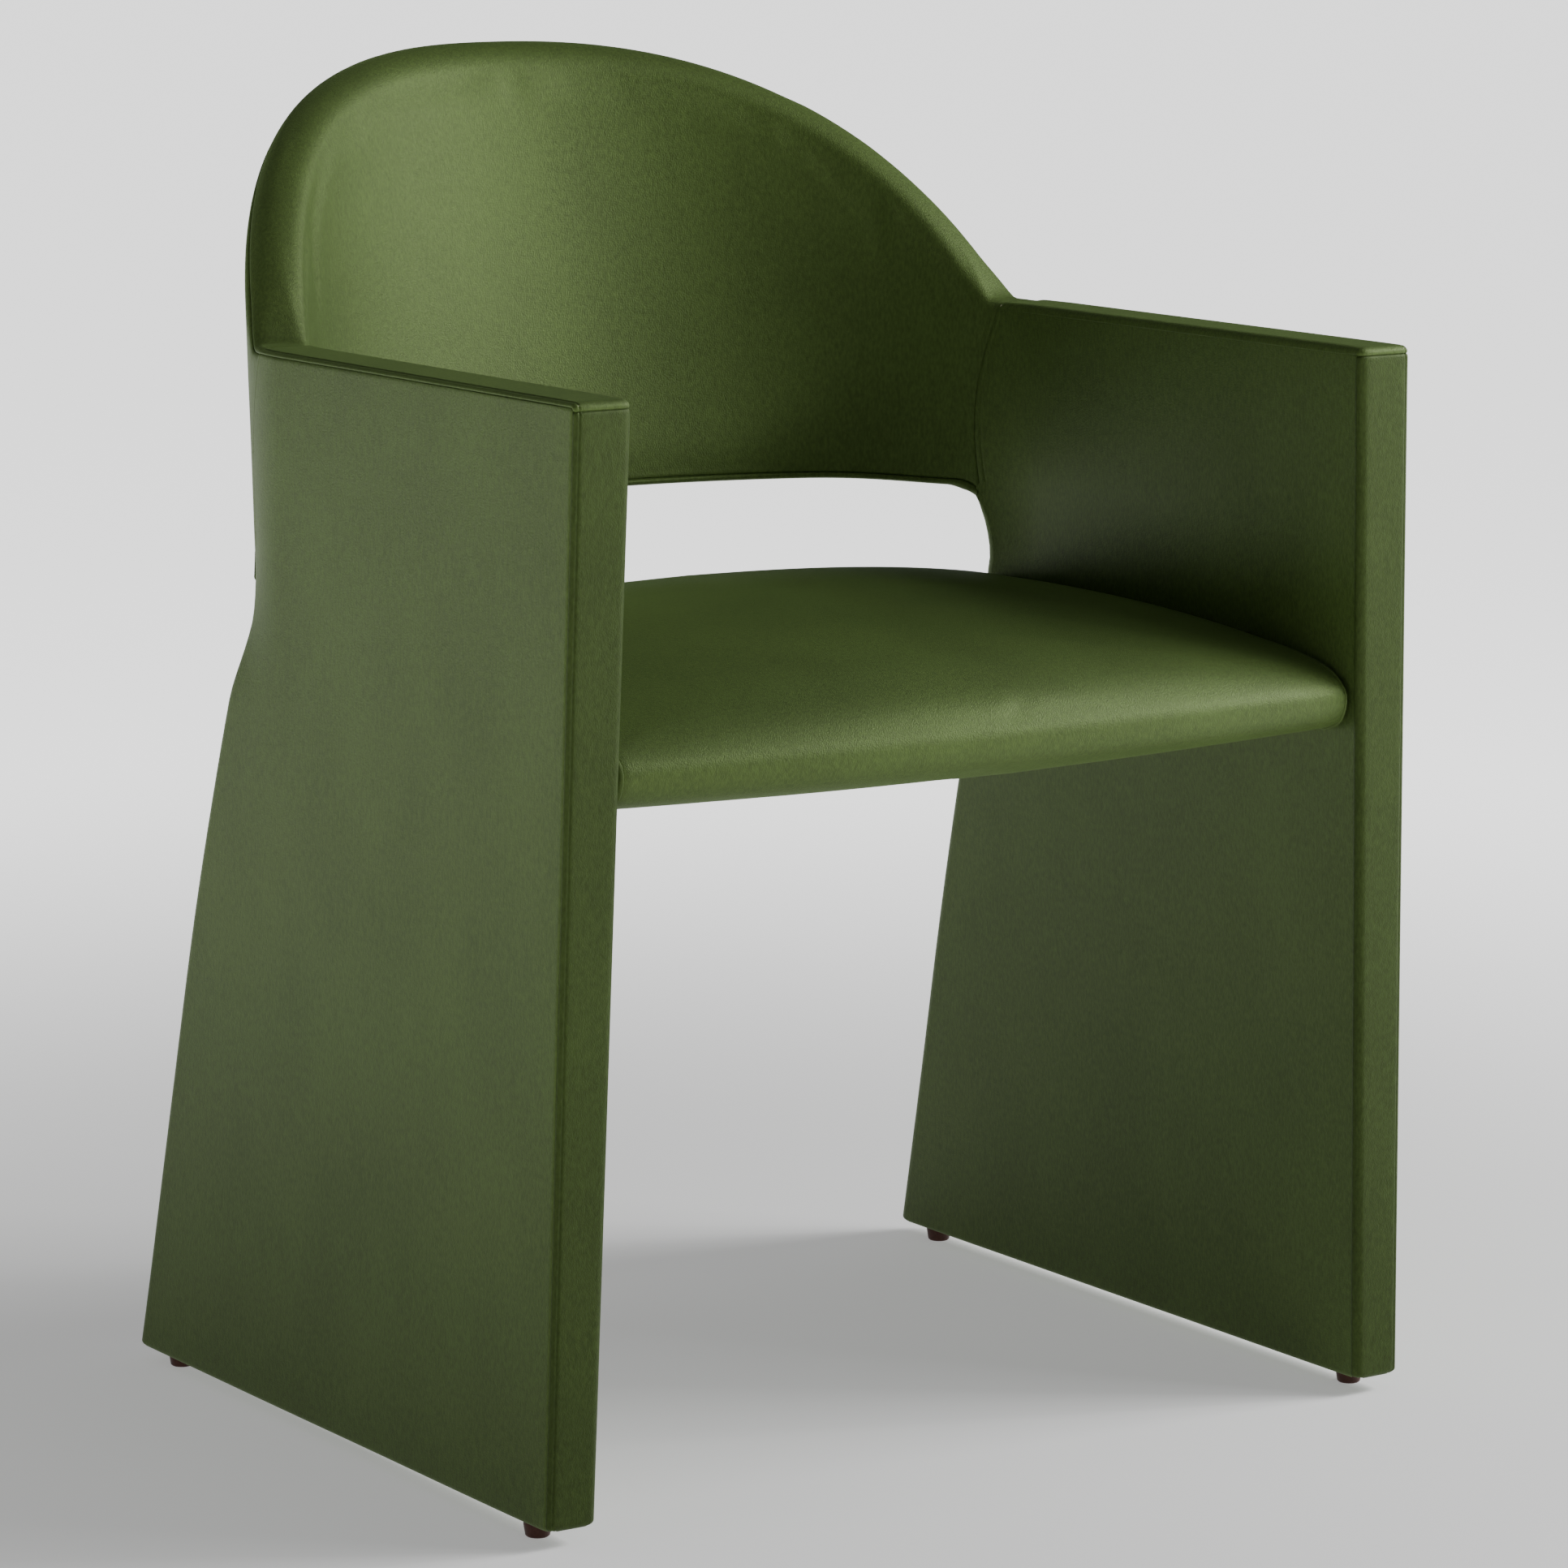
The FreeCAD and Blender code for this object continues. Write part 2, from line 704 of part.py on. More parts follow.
def slab_layer(low, high):
    """Box between two distances outward of the right slab's middle plane, in the chair layout."""
    box = Part.makeBox(high - low, 900, 900, Vector(low, -100, -50))
    tilt = Rotation(Vector(0, 1, 0), -SPLAY)
    box.Placement = Placement(Vector(middle_half(0), 0, 0), tilt)
    return box


def core_block():
    """The right slab's whole wooden core with room round it, in the chair layout."""
    holder = polygon_pad("core_room", "YZ_Plane", SKIN_OUTLINE,
                         f"{S}core_thick + 2 * {S}skin_thick", middle=True)
    doc.recompute()
    shape = holder.Shape.copy()
    matrix = slab_placement("right").multiply(holder.Placement)
    shape.Placement = chair_placement().inverse().multiply(matrix)
    return shape


def front_region(depth, start=-100.0):
    """Everything in front of a line that follows the slabs' leaning front edge."""
    top, foot = size("arm_top") + 100, -50.0
    return across([
        line(at_side(start, foot), at_side(front_y(foot) + depth, foot)),
        line(at_side(front_y(foot) + depth, foot), at_side(front_y(top) + depth, top)),
        line(at_side(front_y(top) + depth, top), at_side(start, top)),
        line(at_side(start, top), at_side(start, foot)),
    ])


def level_slice(low, high):
    return Part.makeBox(2 * REACH, 900, high - low, Vector(-REACH, -100, low))


def make_slab_upholstery():
    """Foam and velvet of both slabs: made for the right side and mirrored for the left."""
    whole = slab_block(0)
    shell = whole.cut(slab_block(COVER)).cut(BEHIND_SEAM)
    filling = slab_block(COVER + GAP).cut(BEHIND_SEAM).cut(core_block())
    strip_top = size("slab_foot") + COVER
    band_low = size("arm_top") - COVER - size("arm_seam")
    pad_low = size("core_top") + 0.5
    seam_in = size("front_seam")
    body_zone = level_slice(strip_top + GAP, band_low - GAP)
    behind_front = shell.cut(front_region(seam_in + GAP)).common(body_zone)
    inner_zone = slab_layer(-60, size("inner_seam") - HALF_BACK)
    pieces = {
        "outer_pad": filling.common(slab_layer(GAP / 2, 40))
                            .common(level_slice(0, pad_low - GAP)),
        "inner_pad": filling.common(slab_layer(-40, -GAP / 2))
                            .common(level_slice(0, pad_low - GAP)),
        "arm_pad": filling.common(level_slice(pad_low, size("arm_top"))),
        "outer_cover": behind_front.cut(inner_zone),
        "inner_cover": behind_front.common(inner_zone),
        "front_band": shell.common(front_region(seam_in)).common(body_zone),
        "arm_band": shell.common(level_slice(band_low, size("arm_top") + 10)),
        "foot_strip": shell.common(level_slice(0, strip_top)),
    }
    for side in SIDES:
        bolts = in_chair_layout(seat_bolt_holes(side, size("bolt_radius") + 0.5), side)
        screws = glide_screws(side, GAP)
        plate = [plate_and_pins(side, GAP)[0]]
        passing = {
            "inner_pad": bolts + screws + plate,
            "outer_pad": screws + plate,
            "inner_cover": bolts,
            "foot_strip": screws,
        }
        for name, shape in pieces.items():
            here = shape if side == "right" else mirrored(shape)
            if name in passing:
                here = here.cut(passing[name])
            add_feature(f"{side}_{name}", single(here))


def in_chair_layout(shapes, side):
    """Shapes drawn in one slab's own frame, moved to the chair layout."""
    moved = [shape.copy() for shape in shapes]
    for shape in moved:
        shape.Placement = chair_placement().inverse().multiply(slab_placement(side))
    return moved


def single(shape):
    """The shape as one solid where it has one, or as a group of its solids."""
    solids = [s for s in shape.Solids if s.Volume > 1.0]
    return solids[0] if len(solids) == 1 else Part.makeCompound(solids)


# ---------------------------------------------------------------- back

def make_back():
    joints = {side: plate_and_pins(side, 0.05) for side in SIDES}
    slots = [solid for plate, pins in joints.values() for solid in [plate] + pins]
    add_feature("back_shell", single(back_loft(shell_profile).cut(slots)))
    add_feature("back_inner_pad", single(back_loft(pad_profile(-1))))
    add_feature("back_outer_pad", single(back_loft(pad_profile(1))))
    add_feature("back_inner_cover", single(back_loft(cover_profile(-1))))
    add_feature("back_outer_cover", single(back_loft(cover_profile(1))))
    add_feature("back_bottom_band", single(back_loft(band_profile)))
    every_pin = []
    for side in SIDES:
        plate, pins = plate_and_pins(side, 0.0)
        add_feature(f"{side}_back_plate", single(plate.cut(joints[side][1])))
        every_pin += pins
    add_feature("back_plate_pins", Part.makeCompound(every_pin))


# ---------------------------------------------------------------- seat

FRAME_HALF = f"{S}seat_frame_half"
FRAME_FRONT = f"{S}seat_frame_front"
FRAME_REAR = f"{S}seat_frame_rear"
RAIL_THICK = f"{S}rail_thick"
RAIL_LOW = f"{S}seat_under + {S}cover_thick + {S}layer_gap"


def rail_box(label, x, y, width, depth):
    """Hardwood rail of the seat frame; its place and size are expressions."""
    box = doc.addObject("Part::Box", label)
    box.setExpression("Length", width)
    box.setExpression("Width", depth)
    box.setExpression("Height", f"{S}rail_top - ({RAIL_LOW})")
    box.setExpression("Placement.Base.x", x)
    box.setExpression("Placement.Base.y", f"{y} - {S}middle_y")
    box.setExpression("Placement.Base.z", RAIL_LOW)
    return box


def make_seat_frame():
    for name, y in (("seat_front_rail", FRAME_FRONT),
                    ("seat_rear_rail", f"{FRAME_REAR} - {RAIL_THICK}")):
        rail = rail_box(name, f"-{FRAME_HALF}", y, f"2 * {FRAME_HALF}", RAIL_THICK)
        subparts.append(rail)
    for side, sign in SIDES.items():
        x = f"-{FRAME_HALF}" if sign < 0 else f"{FRAME_HALF} - {RAIL_THICK}"
        blank = rail_box(f"seat_{side}_rail_blank", x, f"{FRAME_FRONT} + {RAIL_THICK}", RAIL_THICK,
                         f"{FRAME_REAR} - {FRAME_FRONT} - 2 * {RAIL_THICK}")
        holes = [hole.copy() for hole in seat_bolt_holes(side, size("bolt_radius") + 1.0)]
        for hole in holes:
            hole.Placement = slab_placement(side)
        subparts.append(cut(f"seat_{side}_rail", blank, room(f"seat_{side}_hole_room", holes)))
    leg = size("block_leg")
    low, high = number(sheet, RAIL_LOW) + 4.0, size("rail_top") - 4.0
    half = size("seat_frame_half") - size("rail_thick")
    front = size("seat_frame_front") + size("rail_thick")
    rear = size("seat_frame_rear") - size("rail_thick")
    blocks = []
    for x, dx in ((-half, 1), (half, -1)):
        for y, dy in ((front, 1), (rear, -1)):
            square = Vector(x, y, low)
            corner = closed([square, square + Vector(dx * leg, 0, 0), square + Vector(0, dy * leg, 0)])
            blocks.append(Part.Face(corner).extrude(Vector(0, 0, high - low)))
    add_feature("seat_corner_blocks", Part.makeCompound(blocks))


def make_webbing():
    """Straps over the rails: one layer front to back, and one layer side to side over it."""
    width, thick = size("strap_width"), size("strap_thick")
    half = size("seat_frame_half") - 3
    front = size("seat_frame_front") + 3
    rear = size("seat_frame_rear") - 3
    level = size("rail_top")
    straps = []
    for k in (-2, -1, 0, 1, 2):
        place = Vector(k * size("strap_pitch_across") - width / 2, front, level)
        straps.append(Part.makeBox(width, rear - front, thick, place))
    for k in (-1.5, -0.5, 0.5, 1.5):
        middle = (front + rear) / 2 + k * size("strap_pitch_along")
        place = Vector(-half, middle - width / 2, level + thick)
        straps.append(Part.makeBox(2 * half, width, thick, place))
    add_feature("seat_webbing", Part.makeCompound(straps))
    return level + 2 * thick


def make_seat_upholstery(deck):
    """Seat foam over the frame, its cover, and the dust cloth; the foam's ends stop short of the
    cover's, so that the sewn ends can round off."""
    whole = seat_block(0)
    inside = seat_block(COVER)
    filling = seat_block(COVER + GAP)
    front, rear = size("seat_frame_front"), size("seat_frame_rear")
    frame_room = Part.makeBox(2 * REACH, rear - front + 2 * GAP, 100.0 + GAP,
                              Vector(-REACH, front - GAP, deck - 100.0))
    foam_half = inner_half(size("seat_side_top")) - size("seat_end_room")
    between_ends = Part.makeBox(2 * foam_half, 900, 900, Vector(-foam_half, -100, 0))
    add_feature("seat_foam", single(filling.cut(frame_room).common(between_ends)))
    turned_in = size("seat_turn_in")
    half = size("seat_frame_half") - turned_in
    opening = Part.makeBox(2 * half, rear - front - 2 * turned_in, 6.0,
                           Vector(-half, front + turned_in, size("seat_under") - 3.0))
    cover = whole.cut(inside).cut(opening)
    for side in SIDES:
        cover = cover.cut(in_chair_layout(seat_bolt_holes(side, size("bolt_radius") + 1.0), side))
    add_feature("seat_cover", single(cover))
    dust = doc.addObject("Part::Box", "seat_dust_cover")
    margin = f"{S}dust_margin"
    dust.setExpression("Length", f"2 * ({FRAME_HALF} - {margin})")
    dust.setExpression("Width", f"{FRAME_REAR} - {FRAME_FRONT} - 2 * {margin}")
    dust.setExpression("Height", f"{S}dust_thick")
    dust.setExpression("Placement.Base.x", f"-({FRAME_HALF} - {margin})")
    dust.setExpression("Placement.Base.y", f"{FRAME_FRONT} + {margin} - {S}middle_y")
    dust.setExpression("Placement.Base.z", f"{S}seat_under - {S}dust_thick")
    subparts.append(dust)


# ---------------------------------------------------------------- fasteners and glides

def seat_bolts(side):
    """Bolt and washer pairs of one side, in the slab's own frame."""
    inward = -SIDES[side]
    radius = size("bolt_radius")
    face = size("bolt_seat")  # how far inward of the slab's middle plane the washers sit
    washer = size("washer_thick")
    bolts, washers = [], []
    for place in ("bolt_front", "bolt_rear"):
        start = Vector(-inward * 4.0, size(place), size("bolt_height"))
        seat = Vector(inward * face, size(place), size("bolt_height"))
        aim = Vector(inward, 0, 0)
        under_head = seat + aim * washer
        shank = cylinder(radius, face + washer + 4.0, start, aim)
        head = cylinder(size("bolt_head_radius"), size("bolt_head_length"), under_head, aim)
        socket = hex_socket(under_head + aim * 4.0, aim, 3.0, size("bolt_head_length") - 4.0)
        bolts.append(shank.fuse(head.cut(socket)))
        ring = cylinder(size("washer_radius"), washer, seat, aim)
        washers.append(ring.cut(cylinder(radius + 0.1, washer, seat, aim)))
    return bolts, washers


def hex_socket(base, aim, half_width, depth):
    """Hexagonal drive recess, given half its width across the corners."""
    points = []
    for k in range(6):
        turn = math.radians(60 * k)
        points.append(base + Vector(0, half_width * math.cos(turn), half_width * math.sin(turn)))
    return Part.Face(closed(points)).extrude(aim * depth)


def make_seat_fasteners():
    bolts, washers, nuts = [], [], []
    for side in SIDES:
        side_bolts, side_washers = seat_bolts(side)
        side_nuts = [tee_nut(side, place).cut(seat_bolt_holes(side, size("bolt_radius") + 0.05))
                     for place in ("bolt_front", "bolt_rear")]
        for group, made in ((bolts, side_bolts), (washers, side_washers), (nuts, side_nuts)):
            group += in_chair_layout(made, side)
    add_feature("seat_bolts", Part.makeCompound(bolts))
    add_feature("seat_washers", Part.makeCompound(washers))
    add_feature("seat_tee_nuts", Part.makeCompound(nuts))


def glide_places(side):
    return [(SIDES[side] * size(place + "_x"), size(place)) for place in ("glide_front", "glide_rear")]


def glide_screws(side, grow):
    """Countersunk screws of one side's glides, in the chair layout, front one first."""
    screws = []
    for x, y in glide_places(side):
        thin = size("screw_radius") + grow
        wide = 2 * size("screw_radius") + grow
        up = Vector(0, 0, 1)
        shank = cylinder(thin, size("screw_length"), Vector(x, y, 4.0), up)
        head = Part.makeCone(wide, thin, 2.0, Vector(x, y, 3.0), up)
        screws.append(head.fuse(shank))
    return screws


def make_glides():
    """Round plastic feet, turned from one profile, each with a recess for its screw."""
    profile = [
        ("2.2", "5"), ("2.2", f"{S}slab_foot"), (f"{S}glide_radius + 1", f"{S}slab_foot"),
        (f"{S}glide_radius + 1", f"{S}slab_foot - 3"), (f"{S}glide_radius", "0.8"),
        (f"{S}glide_radius - 0.8", "0"), ("4.6", "0"), ("4.6", "2.5"), ("4.3", "2.8"),
    ]
    for side in SIDES:
        for place, (x, y) in zip(("front", "rear"), glide_places(side)):
            label = f"{side}_{place}_glide"
            body = doc.addObject("PartDesign::Body", label)
            sketch = bound_sketch(body, label + "_outline", "XZ_Plane", profile)
            turned = body.newObject("PartDesign::Revolution", label + "_turned")
            turned.Profile = sketch
            turned.ReferenceAxis = (sketch, ["V_Axis"])
            turned.Angle = 360
            keep(body, label, Placement(Vector(x, y - size("middle_y"), 0), Rotation()))
    every_screw = [screw for side in SIDES for screw in glide_screws(side, 0.0)]
    add_feature("glide_screws", Part.makeCompound(every_screw))


# ---------------------------------------------------------------- build and save

for slab_side in SIDES:
    make_slab_frame(slab_side)
make_slab_upholstery()
make_back()
make_seat_frame()
make_seat_upholstery(make_webbing())
make_seat_fasteners()
make_glides()
doc.recompute()

for item in doc.Objects:
    if any(state in ("Invalid", "Error") for state in item.State):
        raise SystemExit(f"{item.Label} did not compute: {item.State}")
for piece in subparts:
    if piece.Shape.isNull() or not piece.Shape.isValid() or not piece.Shape.Solids:
        raise SystemExit(f"{piece.Label} has no valid solid")

os.makedirs("parts", exist_ok=True)
for piece in subparts:
    piece.Shape.exportStep(f"parts/{piece.Label}.step")
    print(piece.Label, len(piece.Shape.Solids), round(piece.Shape.Volume / 1000, 1), "cm3")
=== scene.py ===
import bpy
import math
import numpy as np
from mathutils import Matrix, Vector, kdtree


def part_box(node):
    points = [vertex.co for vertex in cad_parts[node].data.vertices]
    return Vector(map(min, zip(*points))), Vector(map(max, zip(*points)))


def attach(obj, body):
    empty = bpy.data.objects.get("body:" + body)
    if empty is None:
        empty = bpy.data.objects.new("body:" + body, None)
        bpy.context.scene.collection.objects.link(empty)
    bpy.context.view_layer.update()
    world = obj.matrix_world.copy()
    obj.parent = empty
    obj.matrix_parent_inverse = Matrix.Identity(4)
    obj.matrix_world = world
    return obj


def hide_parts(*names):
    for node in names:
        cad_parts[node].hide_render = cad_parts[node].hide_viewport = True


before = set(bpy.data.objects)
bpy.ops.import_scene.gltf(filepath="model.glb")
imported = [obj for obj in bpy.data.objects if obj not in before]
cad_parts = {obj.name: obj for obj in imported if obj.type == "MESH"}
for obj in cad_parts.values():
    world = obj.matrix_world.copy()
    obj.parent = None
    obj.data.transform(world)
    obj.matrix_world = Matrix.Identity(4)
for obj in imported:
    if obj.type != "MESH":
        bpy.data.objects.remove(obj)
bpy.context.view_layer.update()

# ------------------------------------------------------------------ sizes, in metres
# The chair faces -Y. Depths are laid out from the front of the arm tops, then moved by FRONT.

ARM_TOP = 0.635
FOOT = 0.010
SLAB_HEIGHT = ARM_TOP - FOOT
OUTER_ARM, OUTER_FOOT = 0.2865, 0.301
INNER_ARM, INNER_FOOT = 0.250, 0.2695
FRONT_LEAN = 0.0125
REAR_LEVELS = (0.010, 0.165, 0.320, 0.475)
REAR_DEPTHS = (0.498, 0.461, 0.422, 0.371)
REAR_ROUND = 0.010
CURVE_START = 0.324
CURVE_DEPTH = 0.157
BEND_LOW, BEND_HIGH = 0.425, 0.500
HALF_BACK = 0.01725
BACK_TOP = 0.796
LEAN = math.tan(math.radians(16.4))
RIM_DROP, RIM_ANGLE, RIM_POWER = 0.090, math.radians(60), 2.47
GAP_TOP, GAP_ARCH, GAP_ROUND = 0.517, 0.004, 0.020
SEAM_LEVELS = (0.640, 0.605, 0.570, 0.545, 0.520)
SEAM_DEPTHS = (0.352, 0.366, 0.372, 0.3715, 0.368)
SEAM_EXIT = (0.3718, 0.5005)
FRONT = -0.28655

# Levels where the rear wraps of a slab's face panels end, above the lower end of the back's seam.
OUTER_EXIT, INNER_EXIT = 0.5130, 0.5200
WRAP_POINTS = 24
WRAP_BULGE, BULGE_START, BULGE_RUN = 0.0026, 0.488, 0.018
WRAP_SPLIT = 0.003
CALM_REACH, CALM_FROM, CALM_RUN = 0.014, 0.350, 0.015
CORNER_FADE, CORNER_EARLY = 0.024, 0.0125
TIGHT_OUTER, TIGHT_INNER = 0.0024, 0.0012

COVER = 0.0014
SEAT_COVER = 0.0016
STRIP_LIP = 0.003
STRIP_ROLL = 0.006
SOFT_ROLL = 0.005
CORNER_ROLL = 0.005
FOOT_ROLL = 0.0035
SEAM_DEPTH = 0.0011
WIDE_SEAM, EDGE_SEAM, STRIP_SEAM, BAND_SEAM = 0.0028, 0.0024, 0.0018, 0.0020
FELL_PLACE, FELL_DEPTH = 0.0045, 0.0003
PLUMP, PLUMP_REACH = 0.0006, 0.020
BAND_FULLNESS, BAND_FULL_END, BAND_FULL_RUN = 0.0022, 0.022, 0.012

SEAT_UNDER = 0.4065
SEAT_SIDE_TOP = 0.461
SEAT_CROWN = 0.026
SEAT_FRONT, SEAT_BOW = -0.003, 0.014
SEAT_REAR = 0.388
SEAT_HEM = 0.024
SEAT_GAP = 0.0003
END_TUCK, END_ROLL = 0.0056, 0.0080
NOSE = 0.430
HEM_LAP = 0.006
SLAB_CLEARANCE = 0.0008

# How far the cloth simulation may move a cover outward, and how much longer its cloth is cut.
BACK_SWELL, BACK_SLACK = 0.0018, 0.006
SEAT_SWELL, SEAT_SLACK = 0.0035, 0.001
SWELL_FRAMES = 20
SWELL_CALM = 0.012
SIDES = {"left": -1, "right": 1}


# ------------------------------------------------------------------ the chair's form

def smooth(share):
    share = np.clip(share, 0.0, 1.0)
    return share * share * (3 - 2 * share)


def half_width(arm, foot, z):
    return foot + (arm - foot) * (z - FOOT) / SLAB_HEIGHT


def middle_half(z):
    return (half_width(OUTER_ARM, OUTER_FOOT, z) + half_width(INNER_ARM, INNER_FOOT, z)) / 2


def front_y(z):
    return FRONT_LEAN * (ARM_TOP - z) / SLAB_HEIGHT


REAR_CUBIC = np.polyfit(REAR_LEVELS, REAR_DEPTHS, 3)
SEAM_CURVE = np.polyfit(np.array(SEAM_LEVELS) - 0.58, SEAM_DEPTHS, 4)


def rear_y(z):
    return np.polyval(REAR_CUBIC, np.minimum(z, REAR_LEVELS[-1]))


def seam_y(z):
    """Depth of the seam between a slab and the back, at a height."""
    upper = np.polyval(SEAM_CURVE, z - 0.58)
    share = (SEAM_LEVELS[-1] - z) / (SEAM_LEVELS[-1] - SEAM_EXIT[1])
    lower = SEAM_DEPTHS[-1] + (SEAM_EXIT[0] - SEAM_DEPTHS[-1]) * smooth(share)
    return np.where(z > SEAM_LEVELS[-1], upper, lower)


def depth_at(z):
    return CURVE_DEPTH + np.maximum(z - GAP_TOP, 0.0) * LEAN


def toe_in(y, z, half_depth):
    share = np.clip((y - CURVE_START) / half_depth, 0.0, 0.999)
    weight = smooth((z - BEND_LOW) / (BEND_HIGH - BEND_LOW))
    return weight * (1 - np.sqrt(1 - share * share))


def outer_x(y, z):
    return half_width(OUTER_ARM, OUTER_FOOT, z) * (1 - toe_in(y, z, depth_at(z) + HALF_BACK))


def inner_x(y, z):
    return half_width(INNER_ARM, INNER_FOOT, z) * (1 - toe_in(y, z, depth_at(z) - HALF_BACK))


def rim_height(angle):
    arch = BACK_TOP - RIM_DROP * (np.abs(angle) / RIM_ANGLE) ** RIM_POWER
    return (arch + ARM_TOP + np.hypot(arch - ARM_TOP, 0.004)) / 2


def gap_height(angle):
    y = CURVE_START + CURVE_DEPTH * np.cos(angle)
    centre = REAR_DEPTHS[-1] + GAP_ROUND
    reach = np.clip(centre - y, 0.0, GAP_ROUND)
    corner = GAP_TOP - GAP_ROUND + np.sqrt(GAP_ROUND ** 2 - reach ** 2)
    return corner + GAP_ARCH * smooth((y - centre) / 0.060)


def back_point(angle, offset, z):
    """Point of the back: plan angle from the rear centre, distance outward of its middle, height."""
    across = (CURVE_DEPTH + 0.028) * np.sin(angle)
    along = middle_half(z) * np.cos(angle)
    scale = offset / np.hypot(across, along)
    depth = CURVE_DEPTH + (z - GAP_TOP) * LEAN
    x = middle_half(z) * np.sin(angle) + across * scale
    y = CURVE_START + depth * np.cos(angle) + along * scale
    return np.stack(np.broadcast_arrays(x, y, z), axis=-1)


# ------------------------------------------------------------------ mesh helpers

EDGE_STEPS = np.array((0.0, 0.2, 0.45, 0.8, 1.2, 1.7, 2.3, 3.0, 3.5, 3.9, 4.3, 4.7, 5.2, 6.2, 8.0)) / 1000


def spread(start, end, step, fine_start=True, fine_end=True):
    """Places from start to end, close together near an edge that is sewn."""
    length = abs(end - start)
    head = EDGE_STEPS if fine_start else np.array((0.0,))
    tail = EDGE_STEPS if fine_end else np.array((0.0,))
    if length < head[-1] + tail[-1] + step:
        count = max(int(length / 0.0006), 6)
        places = np.linspace(0, length, count)
    else:
        count = max(int(round((length - head[-1] - tail[-1]) / step)), 1)
        middle = np.linspace(head[-1], length - tail[-1], count + 1)[1:-1]
        places = np.concatenate((head, middle, length - tail[::-1]))
    return places / length


def normals_of(grid, outward):
    along = np.gradient(grid, axis=0)
    across = np.gradient(grid, axis=1)
    normal = np.cross(along, across)
    length = np.linalg.norm(normal, axis=-1, keepdims=True)
    normal = normal / np.maximum(length, 1e-12)
    return normal * outward


def distance_to(grid, mask):
    """Distance from each grid point to the nearest point where mask is true."""
    marks = grid[mask]
    tree = kdtree.KDTree(len(marks))
    for index, place in enumerate(marks):
        tree.insert(place, index)
    tree.balance()
    flat = grid.reshape(-1, 3)
    found = np.array([tree.find(place)[2] for place in flat])
    return found.reshape(grid.shape[:2])


def edge_mask(shape, rows=(), columns=()):
    mask = np.zeros(shape, bool)
    for row in rows:
        mask[row, :] = True
    for column in columns:
        mask[:, column] = True
    return mask


def tuck(distance, depth, radius):
    """How far cloth dips at a seam: a quarter round that reaches depth on the seam itself."""
    share = np.clip(1 - distance / radius, 0.0, 1.0)
    return -depth * (1 - np.sqrt(1 - share * share))


def stitch_line(distance, place, depth, width=0.0006):
    """Shallow line of stitches that runs alongside a seam."""
    return -depth * np.exp(-((distance - place) / width) ** 2)


def puff(distance, height, reach):
    return height * (1 - np.exp(-np.maximum(distance, 0) / reach))


def ripple(grid, height, size, seed):
    """Gentle unevenness of hand-fitted cloth."""
    phase = seed * 1.7
    a = np.sin(grid[..., 0] / size + phase) * np.sin(grid[..., 2] / (size * 1.3) + phase * 2)
    b = np.sin(grid[..., 1] / (size * 0.8) + phase * 3) * np.sin(grid[..., 2] / (size * 0.7) + phase)
    return height * (a + b) / 2


def shell(name, grid, lift, outward, keep=None, thickness=COVER):
    """Closed sheet of cloth over a grid of points: lifted along its normals and given a back."""
    normal = normals_of(grid, outward)
    face = grid + normal * lift[..., None]
    normal = normals_of(face, outward)
    back = face - normal * thickness
    rows, columns = grid.shape[:2]
    if keep is None:
        keep = np.ones((rows - 1, columns - 1), bool)
    number = np.arange(rows * columns).reshape(rows, columns)
    shift = rows * columns
    faces = []
    padded = np.zeros((rows + 1, columns + 1), bool)
    padded[1:-1, 1:-1] = keep
    for r, c in zip(*np.nonzero(keep)):
        a, b, d, e = number[r, c], number[r + 1, c], number[r + 1, c + 1], number[r, c + 1]
        quad = (a, b, d, e)
        faces.append(quad if outward > 0 else quad[::-1])
        faces.append(tuple(i + shift for i in (quad[::-1] if outward > 0 else quad)))
        around = ((a, b, padded[r + 1, c]), (b, d, padded[r + 2, c + 1]),
                  (d, e, padded[r + 1, c + 2]), (e, a, padded[r, c + 1]))
        for first, second, inside in around:
            if not inside:
                side = (first, first + shift, second + shift, second)
                faces.append(side if outward > 0 else side[::-1])
    points = np.concatenate((face.reshape(-1, 3), back.reshape(-1, 3)))
    return make_object(name, points, faces)


def make_object(name, points, faces):
    used = np.unique(np.array([i for f in faces for i in f]))
    order = np.full(len(points), -1)
    order[used] = np.arange(len(used))
    moved = points[used] + np.array((0.0, FRONT, 0.0))
    mesh = bpy.data.meshes.new(name)
    mesh.from_pydata(moved.tolist(), [], [tuple(int(order[i]) for i in f) for f in faces])
    mesh.update()
    mesh.shade_smooth()
    piece = bpy.data.objects.new(name, mesh)
    bpy.context.scene.collection.objects.link(piece)
    return piece


def mirror_grid(grid, side):
    return grid * np.array((SIDES[side], 1.0, 1.0))


def finish_piece(piece, material, nodes):
    piece.data.materials.append(material)
    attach(piece, "root")
    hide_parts(*nodes)
    return piece


# ------------------------------------------------------------------ slab sides

LEVEL_STEP = 0.008


def bezier(start, start_way, end, end_way, count):
    """Curve between two points that leaves and arrives along the given ways."""
    t = np.linspace(0, 1, count)[:, None]
    a = start + start_way
    b = end - end_way
    return ((1 - t) ** 3 * start + 3 * (1 - t) ** 2 * t * a + 3 * (1 - t) * t * t * b
            + t ** 3 * end)


def slab_levels(top, exit_level):
    turn = np.linspace(0, math.pi / 2, 8)
    foot = FOOT + FOOT_ROLL * (1 - np.cos(turn))
    low = FOOT + FOOT_ROLL
    below = low + (exit_level - low) * spread(low, exit_level, LEVEL_STEP, False, True)
    above = exit_level + (top - exit_level) * spread(exit_level, top, LEVEL_STEP, True, True)
    return np.concatenate((foot[:-1], below, above[1:])), len(foot) - 1 + len(below) - 1


